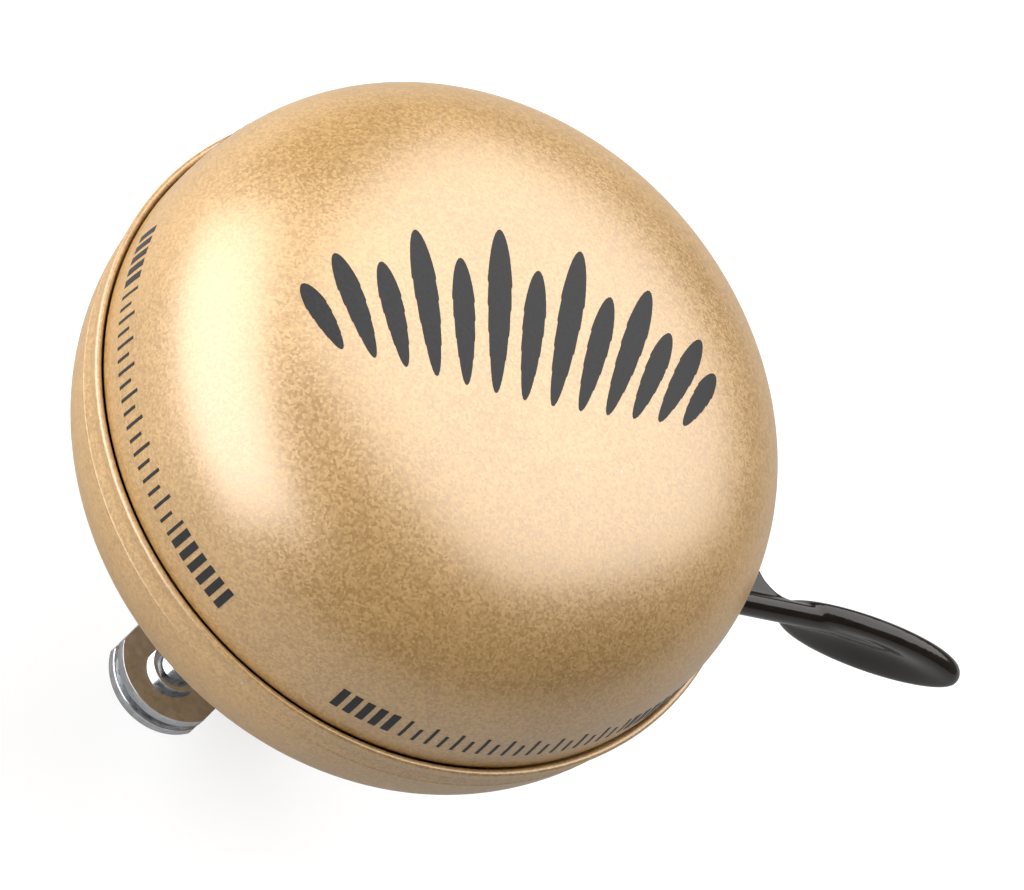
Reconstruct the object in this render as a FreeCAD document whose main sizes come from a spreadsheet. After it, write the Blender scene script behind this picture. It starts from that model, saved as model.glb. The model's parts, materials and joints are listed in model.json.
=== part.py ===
"""Bicycle bell with a thumb lever, a geared rotor and a two-screw handlebar clamp.

Row frame: origin at the centre of the handlebar bore, under the middle of the bell.
+X runs along the handlebar towards the lever, +Y across it, +Z up through the dome.
"""
import FreeCAD, Part
import math
import os
import re

import Sketcher
from FreeCAD import Placement, Rotation, Vector
from fcgear import fcgear, involute

UP = Vector(0, 0, 1)
AXIS_START = Vector(0, 0, 0)
SKETCH_START = 10
CURVE_POINTS = 14
PLATE_WINDOWS = (110, 165, 220)

SIZES = [
    # shared by several pieces
    ("small_chamfer", 0.6),
    ("loose_fit", 0.2),
    ("close_fit", 0.1),
    ("washer_ledge", 2.2),
    ("clip_ledge", 1.5),
    ("rotor_clip_ledge", 1.9),
    ("pin_head_ledge", 1.2),
    ("pin_chamfer", 0.4),
    ("pin_foot_wall", 0.4),
    ("pin_foot_ledge", 0.6),
    ("pin_cap_wall", 0.6),
    ("nut_chamfer_spread", 1.45),
    ("hexagon_corner_share", 1.1547),
    ("head_crown_share", 0.7),
    ("head_side_share", 0.45),
    # handlebar clamp
    ("bar_radius", 11.1),
    ("liner_wall", 1.0),
    ("liner_width", 14.4),
    ("liner_lip", 0.8),
    ("liner_slit", 1.0),
    ("liner_window", 5.3),
    ("strap_wall", 1.4),
    ("strap_width", 12.8),
    ("ear_gap", 1.2),
    ("ear_start", 12.6),
    ("ear_round", 7.1),
    ("ear_inset", 1.5),
    ("screw_reach", 20.0),
    ("screw_radius", 2.0),
    ("screw_tip", 7.4),
    ("screw_point_chamfer", 0.5),
    ("screw_head_radius", 3.7),
    ("screw_head_height", 2.4),
    ("recess_length", 4.2),
    ("recess_width", 0.9),
    ("recess_depth", 1.4),
    ("clamp_washer_radius", 4.4),
    ("clamp_washer_wall", 0.8),
    ("collar_radius", 3.15),
    ("collar_height", 1.7),
    ("seat_half", 7.0),
    ("seat_top", 13.9),
    # shells
    ("seam_height", 40.2),
    ("pan_radius", 39.6),
    ("pan_depth", 25.0),
    ("pan_flat_depth", 23.5),
    ("pan_wall", 0.8),
    ("pan_side_power", 2.70),
    ("pan_floor_power", 2.77),
    ("lip_radius", 40.0),
    ("lip_wall", 0.7),
    ("lip_top_drop", 0.25),
    ("lip_foot_drop", 1.5),
    ("valley_radius", 39.25),
    ("valley_drop", 2.5),
    ("valley_wall_drop", 0.15),
    ("valley_slope", 0.35),
    ("body_top_drop", 4.8),
    ("slot_floor", 30.75),
    ("slot_height", 4.9),
    ("slot_start_angle", 23.0),
    ("slot_sweep_angle", 30.0),
    ("slot_overshoot", 1.0),
    ("dome_radius", 39.0),
    ("dome_height", 26.0),
    ("dome_wall", 1.0),
    ("dome_skirt", 0.5),
    ("dome_side_power", 2.57),
    ("dome_crown_power", 2.76),
    ("boss_radius", 5.5),
    ("boss_foot", 54.0),
    ("boss_bore_top", 63.5),
    ("lug_inner_radius", 33.45),
    ("lug_width", 5.0),
    ("lug_floor", 40.9),
    ("lug_height", 5.0),
    ("lug_angle", -30.0),
    # post and plate
    ("post_radius", 2.5),
    ("post_top", 62.5),
    ("foot_radius", 4.6),
    ("foot_floor", 11.3),
    ("foot_wall", 1.0),
    ("bore_clearance", 0.05),
    ("spacer_radius", 8.5),
    ("sleeve_radius", 4.6),
    ("plate_floor", 29.2),
    ("plate_wall", 1.2),
    ("plate_radius", 33.0),
    ("plate_window_reach", 22.0),
    ("plate_window_radius", 6.0),
    ("standoff_reach", 16.0),
    ("standoff_angle", 20.0),
    ("standoff_radius", 2.5),
    ("tenon_radius", 1.5),
    ("tenon_head_radius", 2.0),
    ("tenon_head_wall", 0.6),
    ("nut_half_flat", 4.0),
    ("nut_wall", 2.6),
    # gear train
    ("gear_module", 0.8),
    ("pressure_angle", 20.0),
    ("tooth_shift", 0.3),
    ("mesh_ease", 0.15),
    ("sector_teeth", 48.0),
    ("pinion_teeth", 12.0),
    ("idler_teeth", 36.0),
    ("pivot_reach", 26.8),
    ("pivot_angle", 21.0),
    ("idler_pinion_floor", 31.3),
    ("idler_pinion_wall", 3.2),
    ("idler_hub_radius", 3.2),
    ("idler_hub_top", 37.0),
    ("idler_gear_floor", 35.2),
    ("idler_gear_wall", 1.6),
    ("idler_window_radius", 2.4),
    ("idler_window_reach", 8.6),
    ("pin_head_wall", 0.7),
    ("idler_pin_radius", 1.5),
    ("idler_pin_top", 38.2),
    ("clip_wall", 0.6),
    # rotor
    ("thrust_washer_wall", 1.0),
    ("rotor_floor", 34.3),
    ("rotor_pinion_wall", 2.9),
    ("rotor_hub_radius", 3.7),
    ("bar_floor", 39.0),
    ("bar_wall", 1.2),
    ("bar_half_width", 4.5),
    ("rotor_angle", 75.0),
    ("striker_reach", 26.7),
    ("striker_radius", 5.2),
    ("striker_hole", 2.6),
    ("striker_wall", 2.6),
    ("striker_chamfer", 0.5),
    ("striker_play", 0.5),
    ("striker_pin_radius", 1.3),
    ("striker_pin_head", 3.1),
    # thumb lever
    ("lever_pin_radius", 2.0),
    ("lever_pin_top", 38.2),
    ("lever_clip_drop", 1.0),
    ("hub_radius", 5.2),
    ("hub_top", 34.5),
    ("lever_washer_wall", 0.6),
    ("sector_floor", 31.6),
    ("sector_wall", 2.4),
    ("sector_start_angle", 205.0),
    ("sector_sweep_angle", 54.0),
    ("arm_angle", 40.8),
    ("arm_middle", 33.2),
    ("arm_height", 3.5),
    ("arm_width", 2.5),
    ("web_floor", 31.9),
    ("web_wall", 2.2),
    ("web_root_reach", 5.0),
    ("web_reach", 7.1),
    ("web_end", 20.0),
    ("web_sweep", 5.0),
    ("web_round", 1.2),
    ("web_round_share", 0.2),
    ("arm_start", 2.0),
    ("arm_bend_start", 26.0),
    ("arm_end_share", 0.45),
    ("dish_length_share", 0.86),
    ("dish_height_share", 0.8),
    ("washer_play", 0.05),
    ("waist_half", 1.2),
    ("pad_angle", 30.5),
    ("pad_start_x", 46.5),
    ("pad_start_y", 28.5),
    ("pad_centre_reach", 7.6),
    ("pad_middle", 31.6),
    ("pad_half_length", 12.1),
    ("pad_half_height", 4.7),
    ("pad_wall", 2.6),
    ("pad_round", 1.2),
    ("dish_depth", 0.7),
    # return spring
    ("spring_wire", 0.35),
    ("spring_radius", 3.3),
    ("spring_floor", 34.95),
    ("spring_pitch", 0.76),
    ("spring_half_turns", 4),
    ("spring_lean", 16.0),
    ("spring_free_leg", 8.0),
    ("spring_fixed_leg", 4.4),
    ("spring_bend", 0.9),
    ("spring_seat_radius", 4.3),
]

doc = FreeCAD.newDocument("bicycle_bell")
sheet = doc.addObject("Spreadsheet::Sheet", "Sizes")
nodes = []


def fill_sheet():
    """Write every driving dimension into the sheet, with its name beside it."""
    for row, (alias, number) in enumerate(SIZES, start=1):
        sheet.set("A%d" % row, alias)
        sheet.set("B%d" % row, str(number))
        sheet.setAlias("B%d" % row, alias)
    doc.recompute()


def size(alias):
    """A driving dimension as a number."""
    return float(sheet.get(alias))


def bind(thing, prop, formula):
    """Tie a property to a formula of the sheet's names."""
    linked = re.sub(r"[a-z]\w+", lambda word: "Sizes." + word.group(), str(formula))
    thing.setExpression(prop, linked)


def place(thing, x="0", y="0", z="0"):
    """Bind an object's position to formulas."""
    bind(thing, "Placement.Base.x", x)
    bind(thing, "Placement.Base.y", y)
    bind(thing, "Placement.Base.z", z)


def spot(reach, degrees):
    """A point in plan at a distance and an angle from the bell's axis."""
    turn = math.radians(degrees)
    return Vector(reach * math.cos(turn), reach * math.sin(turn), 0)


def node(thing):
    """Mark an object as a sub-part that is written out."""
    nodes.append(thing)
    return thing


# ---------------------------------------------------------------- building blocks

def cylinder(name, radius, height, z="0", x="0", y="0"):
    """An upright cylinder with bound sizes."""
    solid = doc.addObject("Part::Cylinder", name)
    bind(solid, "Radius", radius)
    bind(solid, "Height", height)
    place(solid, x, y, z)
    return solid


def cross_cylinder(name, radius, width):
    """A cylinder along the handlebar, centred on the bell's axis."""
    solid = doc.addObject("Part::Cylinder", name)
    bind(solid, "Radius", radius)
    bind(solid, "Height", width)
    solid.Placement = Placement(Vector(0, 0, 0), Rotation(Vector(0, 1, 0), 90))
    bind(solid, "Placement.Base.x", "-(%s) / 2" % width)
    return solid


def block(name, x, y, z):
    """A box between bound limits, each given as (low, high)."""
    solid = doc.addObject("Part::Box", name)
    for prop, (low, high) in zip(("Length", "Width", "Height"), (x, y, z)):
        bind(solid, prop, "(%s) - (%s)" % (high, low))
    place(solid, x[0], y[0], z[0])
    return solid


def cut(name, base, *tools):
    """Base with one or more tools taken away."""
    result = doc.addObject("Part::Cut", name)
    result.Base = base
    result.Tool = tools[0] if len(tools) == 1 else fuse(name + "_tools", *tools)
    return result


def fuse(name, *shapes):
    """Several solids made one."""
    result = doc.addObject("Part::MultiFuse", name)
    result.Shapes = list(shapes)
    result.Refine = True
    return result


def common(name, *shapes):
    """What several solids share."""
    result = doc.addObject("Part::MultiCommon", name)
    result.Shapes = list(shapes)
    return result


def feature(name, shape, placement=None):
    """A shape made with Part's functions, placed after it is set."""
    result = doc.addObject("Part::Feature", name)
    result.Shape = shape
    if placement is not None:
        result.Placement = placement
    return result


def origin_plane(body, role):
    """One of a body's own origin planes."""
    return next(item for item in body.Origin.OriginFeatures if item.Role == role)


def bound_outline(body, name, role, corners):
    """A closed outline of straight lines whose corners are bound to the sheet."""
    sketch = body.newObject("Sketcher::SketchObject", name)
    sketch.AttachmentSupport = (origin_plane(body, role), "")
    sketch.MapMode = "FlatFace"
    count = len(corners)
    start = [spot(SKETCH_START, 360 * index / count) for index in range(count)]
    for index in range(count):
        line = Part.LineSegment(start[index], start[(index + 1) % count])
        sketch.addGeometry(line, False)
    for index in range(count):
        following = (index + 1) % count
        sketch.addConstraint(Sketcher.Constraint("Coincident", index, 2, following, 1))
    for index, corner in enumerate(corners):
        for kind, formula in zip(("DistanceX", "DistanceY"), corner):
            if formula == "0":
                axis = -2 if kind == "DistanceX" else -1
                sketch.addConstraint(Sketcher.Constraint("PointOnObject", index, 1, axis))
            else:
                rule = Sketcher.Constraint(kind, -1, 1, index, 1, 1)
                number = sketch.addConstraint(rule)
                bind(sketch, "Constraints[%d]" % number, formula)
    return sketch


def turned(name, corners, x="0", y="0", z="0"):
    """A turned piece: an outline of (radius, height) corners swept about +Z."""
    body = doc.addObject("PartDesign::Body", name)
    outline = bound_outline(body, name + "_outline", "XZ_Plane", corners)
    turning = body.newObject("PartDesign::Revolution", name + "_turning")
    turning.Profile = outline
    turning.ReferenceAxis = (outline, ["V_Axis"])
    turning.Angle = 360
    body.Tip = turning
    place(body, x, y, z)
    return body


def ring(name, hole, radius, low, high, x="0", y="0"):
    """A plain washer, sleeve or spacer."""
    corners = [(hole, low), (radius, low), (radius, high), (hole, high)]
    return turned(name, corners, x, y)


def copies(name, shape, placements):
    """Identical separate solids held as one node."""
    solids = [shape.transformed(where.toMatrix(), True) for where in placements]
    return feature(name, Part.makeCompound(solids))


def hex_nut(name, low):
    """A plain hexagon nut on the post."""
    prism = doc.addObject("Part::Prism", name + "_blank")
    prism.Polygon = 6
    bind(prism, "Circumradius", "nut_half_flat * hexagon_corner_share")
    bind(prism, "Height", "nut_wall")
    place(prism, "0", "0", low)
    chamfer = doc.addObject("Part::Cone", name + "_chamfer")
    bind(chamfer, "Radius1", "nut_half_flat * nut_chamfer_spread")
    bind(chamfer, "Radius2", "nut_half_flat")
    bind(chamfer, "Height", "nut_wall")
    place(chamfer, "0", "0", low)
    bore = cylinder(name + "_bore", "post_radius", "nut_wall", low)
    return cut(name, common(name + "_body", prism, chamfer), bore)


# ---------------------------------------------------------------- handlebar clamp

def ear(side, low, high):
    """One flat ear of a strap half: parallel sides and a round end."""
    name = "ear_%s" % side
    centre = "screw_reach - ear_inset"
    half = ("-strap_width / 2", "strap_width / 2")
    blank = block(name + "_blank", half, ("ear_start", centre + " + ear_round"), (low, high))
    shank = block(name + "_shank", half, ("ear_start", centre), (low, high))
    end = cylinder(name + "_end", "ear_round", "(%s) - (%s)" % (high, low), low, "0", centre)
    return common(name, blank, fuse(name + "_plan", shank, end))


def other_side(thing):
    """The same piece on the other side of the handlebar."""
    mirror = doc.addObject("Part::Mirroring", thing.Name + "_mirror")
    mirror.Source = thing
    mirror.Base = AXIS_START
    mirror.Normal = Vector(0, 1, 0)
    return mirror


def half_band(name, low, high):
    """Half of the strap's round band."""
    band = cross_cylinder(name + "_band", "bar_radius + liner_wall + strap_wall", "strap_width")
    reach = ("-bar_radius * 2", "bar_radius * 2")
    return common(name, band, block(name + "_room", reach, reach, (low, high)))


def drilled_strap(name, solids, hole_radius):
    """Join a strap half and cut the handlebar space and the two screw holes."""
    bore = cross_cylinder(name + "_bore", "bar_radius + liner_wall", "strap_width * 2")
    hole = cylinder(name + "_hole", hole_radius, "screw_reach", "-screw_reach / 2", "0", "screw_reach")
    return cut(name + "_drilled", fuse(name + "_blank", *solids), bore, hole, other_side(hole))


def make_upper_clamp():
    """Saddle half: round band, flat seat under the bell, ears with tapped collars."""
    upper = ear("upper", "ear_gap / 2", "ear_gap / 2 + strap_wall")
    half = ("-strap_width / 2", "strap_width / 2")
    seat = block("seat", half, ("-seat_half", "seat_half"), ("bar_radius", "seat_top"))
    collar = cylinder("collar", "collar_radius", "strap_wall + collar_height", "ear_gap / 2", "0",
                      "screw_reach")
    solids = [half_band("saddle_band", "ear_gap / 2", "seat_top"), seat, upper, other_side(upper)]
    solids += [collar, other_side(collar)]
    drilled = drilled_strap("saddle", solids, "screw_radius + bore_clearance / 2")
    stem = cylinder("saddle_stem_hole", "post_radius + bore_clearance", "bar_radius", "bar_radius")
    foot = cylinder("saddle_foot_room", "foot_radius + bore_clearance", "foot_floor + foot_wall")
    return node(cut("upper_clamp", drilled, stem, foot))


def make_lower_clamp():
    """Plain strap half under the handlebar."""
    lower = ear("lower", "-ear_gap / 2 - strap_wall", "-ear_gap / 2")
    solids = [half_band("strap_band", "-bar_radius * 2", "-ear_gap / 2"), lower, other_side(lower)]
    strap = drilled_strap("strap", solids, "screw_radius + bore_clearance * 5")
    strap.Label = "lower_clamp"
    return node(strap)


def make_clamp_screws():
    """Two cross-recess pan head screws, driven from below."""
    under = "-ear_gap / 2 - strap_wall - clamp_washer_wall"
    crown = under + " - screw_head_height"
    corners = [
        ("0", crown),
        ("screw_head_radius * head_crown_share", crown),
        ("screw_head_radius", crown + " + screw_head_height * head_side_share"),
        ("screw_head_radius", under),
        ("screw_radius", under),
        ("screw_radius", "screw_tip - small_chamfer"),
        ("screw_radius - screw_point_chamfer", "screw_tip"),
        ("0", "screw_tip"),
    ]
    blank = turned("screw_blank", corners)
    long_half = ("-recess_length / 2", "recess_length / 2")
    thin_half = ("-recess_width / 2", "recess_width / 2")
    depth = (crown, crown + " + recess_depth")
    recess = [block("recess_along", long_half, thin_half, depth)]
    recess.append(block("recess_across", thin_half, long_half, depth))
    screw = cut("screw", blank, *recess)
    doc.recompute()
    reach = size("screw_reach")
    spots = [Placement(Vector(0, side * reach, 0), Rotation()) for side in (1, -1)]
    return node(copies("clamp_screws", screw.Shape, spots))


def make_clamp_washers():
    """A flat washer under each screw head."""
    low = "-ear_gap / 2 - strap_wall - clamp_washer_wall"
    high = "-ear_gap / 2 - strap_wall"
    washer = ring("clamp_washer", "screw_radius + loose_fit", "clamp_washer_radius", low, high)
    doc.recompute()
    reach = size("screw_reach")
    spots = [Placement(Vector(0, side * reach, 0), Rotation()) for side in (1, -1)]
    return node(copies("clamp_washers", washer.Shape, spots))


def make_bar_liner():
    """Rubber liner: a split tube with a lip at each side of the strap and a window on top."""
    middle = cross_cylinder("liner_tube", "bar_radius + liner_wall", "liner_width")
    ends = cross_cylinder("liner_lips", "bar_radius + liner_wall + liner_lip", "liner_width")
    groove = cross_cylinder("liner_groove", "bar_radius * 2", "strap_width + close_fit")
    bore = cross_cylinder("liner_bore", "bar_radius", "liner_width * 2")
    width = ("-liner_width", "liner_width")
    slit = block("liner_slit_cut", width, ("0", "bar_radius * 2"), ("-liner_slit / 2", "liner_slit / 2"))
    window = cylinder("liner_window_cut", "liner_window", "bar_radius * 2")
    tube = fuse("liner_blank", middle, cut("liner_edges", ends, groove))
    return node(cut("bar_liner", tube, bore, slit, window))


# ---------------------------------------------------------------- shells

def shell_curve(radius, height, side_power, top_power, count):
    """Points of a squashed round shell, from its widest edge to its middle."""
    points = []
    for step in range(count + 1):
        turn = math.pi / 2 * step / count
        reach = radius * max(math.cos(turn), 0.0) ** (2 / side_power)
        rise = height * math.sin(turn) ** (2 / top_power)
        points.append(Vector(reach, 0, rise))
    points[-1].x = 0.0
    return points


def smooth_edge(points, first=None, last=None):
    """One smooth edge through points, with an end direction where it matters."""
    curve = Part.BSplineCurve()
    if first is None or last is None:
        curve.interpolate(points)
    else:
        curve.interpolate(Points=points, InitialTangent=first, FinalTangent=last)
    return curve.toShape()


def spun(edges):
    """A solid of revolution about the bell's axis."""
    face = Part.Face(Part.Wire(Part.__sortEdges__(edges)))
    return face.revolve(AXIS_START, UP, 360)


def straight(a, b):
    """A straight edge."""
    return Part.LineSegment(a, b).toShape()


def dome_surface(radius, height, low):
    """The dome's half outline from its rim up to the crown, closed back to the axis."""
    seam = size("seam_height")
    points = shell_curve(radius, height, size("dome_side_power"), size("dome_crown_power"), CURVE_POINTS)
    points = [point + Vector(0, 0, seam) for point in points]
    crown = smooth_edge(points, UP, Vector(-1, 0, 0))
    rim = Vector(radius, 0, low)
    foot = Vector(0, 0, low)
    return spun([straight(foot, rim), straight(rim, points[0]), crown, straight(points[-1], foot)])


def dome_cavity():
    """The space inside the dome, used to shape what is fixed to its inner wall."""
    wall = size("dome_wall")
    low = size("seam_height") - size("dome_skirt")
    return dome_surface(size("dome_radius") - wall, size("dome_height") - wall, low)


def make_dome():
    """The sounding dome: one spun shell."""
    low = size("seam_height") - size("dome_skirt")
    outer = dome_surface(size("dome_radius"), size("dome_height"), low)
    return node(feature("dome", outer.cut(dome_cavity())))


def make_dome_boss():
    """Tapped boss brazed under the crown; the dome screws onto the post with it."""
    foot = size("boss_foot")
    top = size("seam_height") + size("dome_height")
    blank = Part.makeCylinder(size("boss_radius"), top - foot, Vector(0, 0, foot))
    bore = Part.makeCylinder(size("post_radius"), size("boss_bore_top") - foot, Vector(0, 0, foot))
    return node(feature("dome_boss", blank.common(dome_cavity()).cut(bore)))


def make_strike_lugs():
    """Two lugs brazed inside the dome, which the strikers hit."""
    inner = size("lug_inner_radius")
    width = size("lug_width")
    lug = Part.makeBox(size("dome_radius") - inner, width, size("lug_height"),
                       Vector(inner, -width / 2, size("lug_floor")))
    solids = []
    for side in (0, 180):
        turned_lug = lug.copy()
        turned_lug.rotate(AXIS_START, UP, size("lug_angle") + side)
        solids.append(turned_lug.common(dome_cavity()))
    return node(feature("strike_lugs", Part.makeCompound(solids)))


def pan_body_points(inset):
    """Points of the pan's side, from its flat floor up to where the lip begins."""
    radius = size("pan_radius") - inset
    depth = size("pan_depth") - inset
    flat = size("pan_flat_depth") - inset
    side_power = size("pan_side_power")
    floor_power = size("pan_floor_power")
    points = []
    steps = 9
    for step in range(steps + 1):
        drop = flat + (size("body_top_drop") - flat) * step / steps
        reach = radius * (1 - (drop / depth) ** floor_power) ** (1 / side_power)
        points.append(Vector(reach, 0, size("seam_height") - drop))
    return points


def make_pan():
    """The lower shell: flat floor, bulging side, shallow valley and a raised rolled lip."""
    seam = size("seam_height")
    wall = size("pan_wall")
    valley = Vector(size("valley_radius"), 0, seam - size("valley_drop"))
    lip = size("lip_radius")
    lip_inner = lip - size("lip_wall")
    foot = seam - size("lip_foot_drop")
    top = seam - size("lip_top_drop")
    bead = size("lip_wall") / 2
    rise = Vector(0, 0, 1)
    outer_points = pan_body_points(0) + [valley]
    inner_points = pan_body_points(wall) + [valley - Vector(wall, 0, size("valley_wall_drop"))]
    outer_side = smooth_edge(outer_points, Vector(1, 0, size("valley_slope")), rise)
    inner_side = smooth_edge(inner_points, Vector(1, 0, size("valley_slope")), rise)
    outer_step = smooth_edge([outer_points[-1], Vector(lip, 0, foot)], rise, rise)
    inner_step = smooth_edge([inner_points[-1], Vector(lip_inner, 0, foot)], rise, rise)
    bead_arc = Part.Arc(Vector(lip, 0, top - bead), Vector(lip - bead, 0, top),
                        Vector(lip_inner, 0, top - bead)).toShape()
    floor_low = Vector(0, 0, outer_points[0].z)
    floor_high = Vector(0, 0, inner_points[0].z)
    edges = [
        straight(floor_low, outer_points[0]),
        outer_side,
        outer_step,
        straight(Vector(lip, 0, foot), Vector(lip, 0, top - bead)),
        bead_arc,
        straight(Vector(lip_inner, 0, top - bead), Vector(lip_inner, 0, foot)),
        inner_step,
        inner_side,
        straight(inner_points[0], floor_high),
        straight(floor_high, floor_low),
    ]
    shell = spun(edges)
    holes = [Part.makeCylinder(size("post_radius") + size("bore_clearance"), seam)]
    for turn in range(3):
        where = spot(size("standoff_reach"), size("standoff_angle") + 360 / 3 * turn)
        holes.append(Part.makeCylinder(size("tenon_radius"), size("plate_floor"), where))
    slot = Part.makeCylinder(size("lip_radius") + size("slot_overshoot"), size("slot_height"),
                             Vector(0, 0, size("slot_floor")), UP, size("slot_sweep_angle"))
    slot.rotate(AXIS_START, UP, size("slot_start_angle"))
    return node(feature("pan", shell.cut(holes + [slot])))


# ---------------------------------------------------------------- post, plate and fasteners

def make_centre_post():
    """Post from the clamp's saddle to the dome: a flat foot and a plain stem."""
    foot_top = "foot_floor + foot_wall"
    corners = [
        ("0", "foot_floor"),
        ("foot_radius", "foot_floor"),
        ("foot_radius", foot_top),
        ("post_radius", foot_top),
        ("post_radius", "post_top - small_chamfer"),
        ("post_radius - small_chamfer", "post_top"),
        ("0", "post_top"),
    ]
    return node(turned("centre_post", corners))


def make_spacers():
    """Spacer between saddle and pan, and the sleeve that carries the plate."""
    bore = "post_radius + bore_clearance"
    floor = "seam_height - pan_flat_depth"
    node(ring("pan_spacer", bore, "spacer_radius", "seat_top", floor))
    node(ring("post_sleeve", bore, "sleeve_radius", floor + " + pan_wall", "plate_floor"))


def make_mechanism_plate():
    """Round steel plate that carries the lever, the idler and the spring's fixed leg."""
    plate = Part.makeCylinder(size("plate_radius"), size("plate_wall"))
    holes = [(AXIS_START, size("post_radius") + size("bore_clearance"))]
    holes.append((lever_pivot(), size("lever_pin_radius")))
    holes.append((idler_centre(), size("idler_pin_radius")))
    holes.append((spring_anchor(), size("spring_wire") + size("bore_clearance") * 3))
    for turn in range(3):
        where = spot(size("standoff_reach"), size("standoff_angle") + 360 / 3 * turn)
        holes.append((where, size("tenon_radius")))
    for degrees in PLATE_WINDOWS:
        where = spot(size("plate_window_reach"), degrees)
        holes.append((where, size("plate_window_radius")))
    cutters = [Part.makeCylinder(radius, size("plate_wall"), where) for where, radius in holes]
    lift = Placement(Vector(0, 0, size("plate_floor")), Rotation())
    return node(feature("mechanism_plate", plate.cut(cutters), lift))


def make_plate_standoffs():
    """Three turned standoffs, riveted over under the pan and on the plate."""
    pan_low = "seam_height - pan_flat_depth"
    pan_high = pan_low + " + pan_wall"
    plate_top = "plate_floor + plate_wall"
    corners = [
        ("0", pan_low + " - tenon_head_wall"),
        ("tenon_head_radius", pan_low + " - tenon_head_wall"),
        ("tenon_head_radius", pan_low),
        ("tenon_radius", pan_low),
        ("tenon_radius", pan_high),
        ("standoff_radius", pan_high),
        ("standoff_radius", "plate_floor"),
        ("tenon_radius", "plate_floor"),
        ("tenon_radius", plate_top),
        ("tenon_head_radius", plate_top),
        ("tenon_head_radius", plate_top + " + tenon_head_wall"),
        ("0", plate_top + " + tenon_head_wall"),
    ]
    standoff = turned("standoff", corners)
    doc.recompute()
    spots = []
    for turn in range(3):
        where = spot(size("standoff_reach"), size("standoff_angle") + 360 / 3 * turn)
        spots.append(Placement(where, Rotation()))
    return node(copies("plate_standoffs", standoff.Shape, spots))


def make_nuts():
    """The nut that holds the plate down, and the lock nut under the dome's boss."""
    node(hex_nut("plate_nut", "plate_floor + plate_wall"))
    node(hex_nut("lock_nut", "boss_foot - nut_wall"))


# ---------------------------------------------------------------- gear train

def lever_pivot():
    """Where the lever turns."""
    return spot(size("pivot_reach"), size("pivot_angle"))


def mesh_distance(teeth_a, teeth_b):
    """Centre distance of two meshed gears, eased a little for backlash."""
    return size("gear_module") * (size(teeth_a) + size(teeth_b)) / 2 + size("mesh_ease")


def idler_centre():
    """Where the idler turns: in mesh with both the lever's sector and the rotor."""
    to_rotor = mesh_distance("idler_teeth", "pinion_teeth")
    to_lever = mesh_distance("sector_teeth", "pinion_teeth")
    base = size("pivot_reach")
    cosine = (base ** 2 + to_rotor ** 2 - to_lever ** 2) / (2 * base * to_rotor)
    return spot(to_rotor, size("pivot_angle") - math.degrees(math.acos(cosine)))


def heading(start, end):
    """Direction in plan from one point to another, in degrees."""
    return math.degrees(math.atan2(end.y - start.y, end.x - start.x))


def gear_solid(teeth, shift, wall, centre, low, facing):
    """A spur gear with one tooth centred on the facing direction."""
    outline = fcgear.FCWireBuilder()
    involute.CreateExternalGear(outline, size("gear_module"), int(size(teeth)),
                                size("pressure_angle"), shiftCoeff=shift)
    wire = Part.Wire([edge.toShape() for edge in outline.wire])
    solid = Part.Face(wire).extrude(Vector(0, 0, wall))
    solid.rotate(AXIS_START, UP, facing)
    solid.translate(centre + Vector(0, 0, low))
    return solid


def half_pitch(teeth):
    """Half the angle from one tooth to the next."""
    return 180 / size(teeth)


def make_idler_pinion():
    """Small gear driven by the lever's sector, with the hub that carries the idler gear."""
    centre = idler_centre()
    low = size("idler_pinion_floor")
    facing = heading(centre, lever_pivot()) + half_pitch("pinion_teeth")
    teeth = gear_solid("pinion_teeth", size("tooth_shift"), size("idler_pinion_wall"), centre, low,
                       facing)
    hub = Part.makeCylinder(size("idler_hub_radius"), size("idler_hub_top") - low,
                            centre + Vector(0, 0, low))
    bore = Part.makeCylinder(size("idler_pin_radius") + size("bore_clearance"), size("seam_height"),
                             centre)
    return node(feature("idler_pinion", teeth.fuse(hub).cut(bore).removeSplitter()))


def make_idler_gear():
    """Large gear pressed on the idler's hub; it drives the rotor."""
    centre = idler_centre()
    low = size("idler_gear_floor")
    wall = size("idler_gear_wall")
    facing = heading(centre, AXIS_START)
    gear = gear_solid("idler_teeth", -size("tooth_shift"), wall, centre, low, facing)
    holes = [Part.makeCylinder(size("idler_hub_radius"), wall, centre + Vector(0, 0, low))]
    for turn in range(6):
        where = centre + spot(size("idler_window_reach"), facing + 360 / 6 * (turn + 0.5))
        where.z = low
        holes.append(Part.makeCylinder(size("idler_window_radius"), wall, where))
    return node(feature("idler_gear", gear.cut(holes)))


def headed_pin(name, radius, top, centre):
    """A plain pin with a flat head under the plate."""
    head = "plate_floor - pin_head_wall"
    corners = [
        ("0", head),
        (radius + " + pin_head_ledge", head),
        (radius + " + pin_head_ledge", "plate_floor"),
        (radius, "plate_floor"),
        (radius, top + " - pin_chamfer"),
        (radius + " - pin_chamfer", top),
        ("0", top),
    ]
    return node(turned(name, corners, centre.x, centre.y))


def make_idler_fasteners():
    """The idler's pin and its retaining clip."""
    centre = idler_centre()
    headed_pin("idler_pin", "idler_pin_radius", "idler_pin_top", centre)
    low = "idler_hub_top + loose_fit"
    node(ring("idler_clip", "idler_pin_radius", "idler_pin_radius + clip_ledge", low,
              low + " + clip_wall", centre.x, centre.y))


# ---------------------------------------------------------------- rotor

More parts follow.
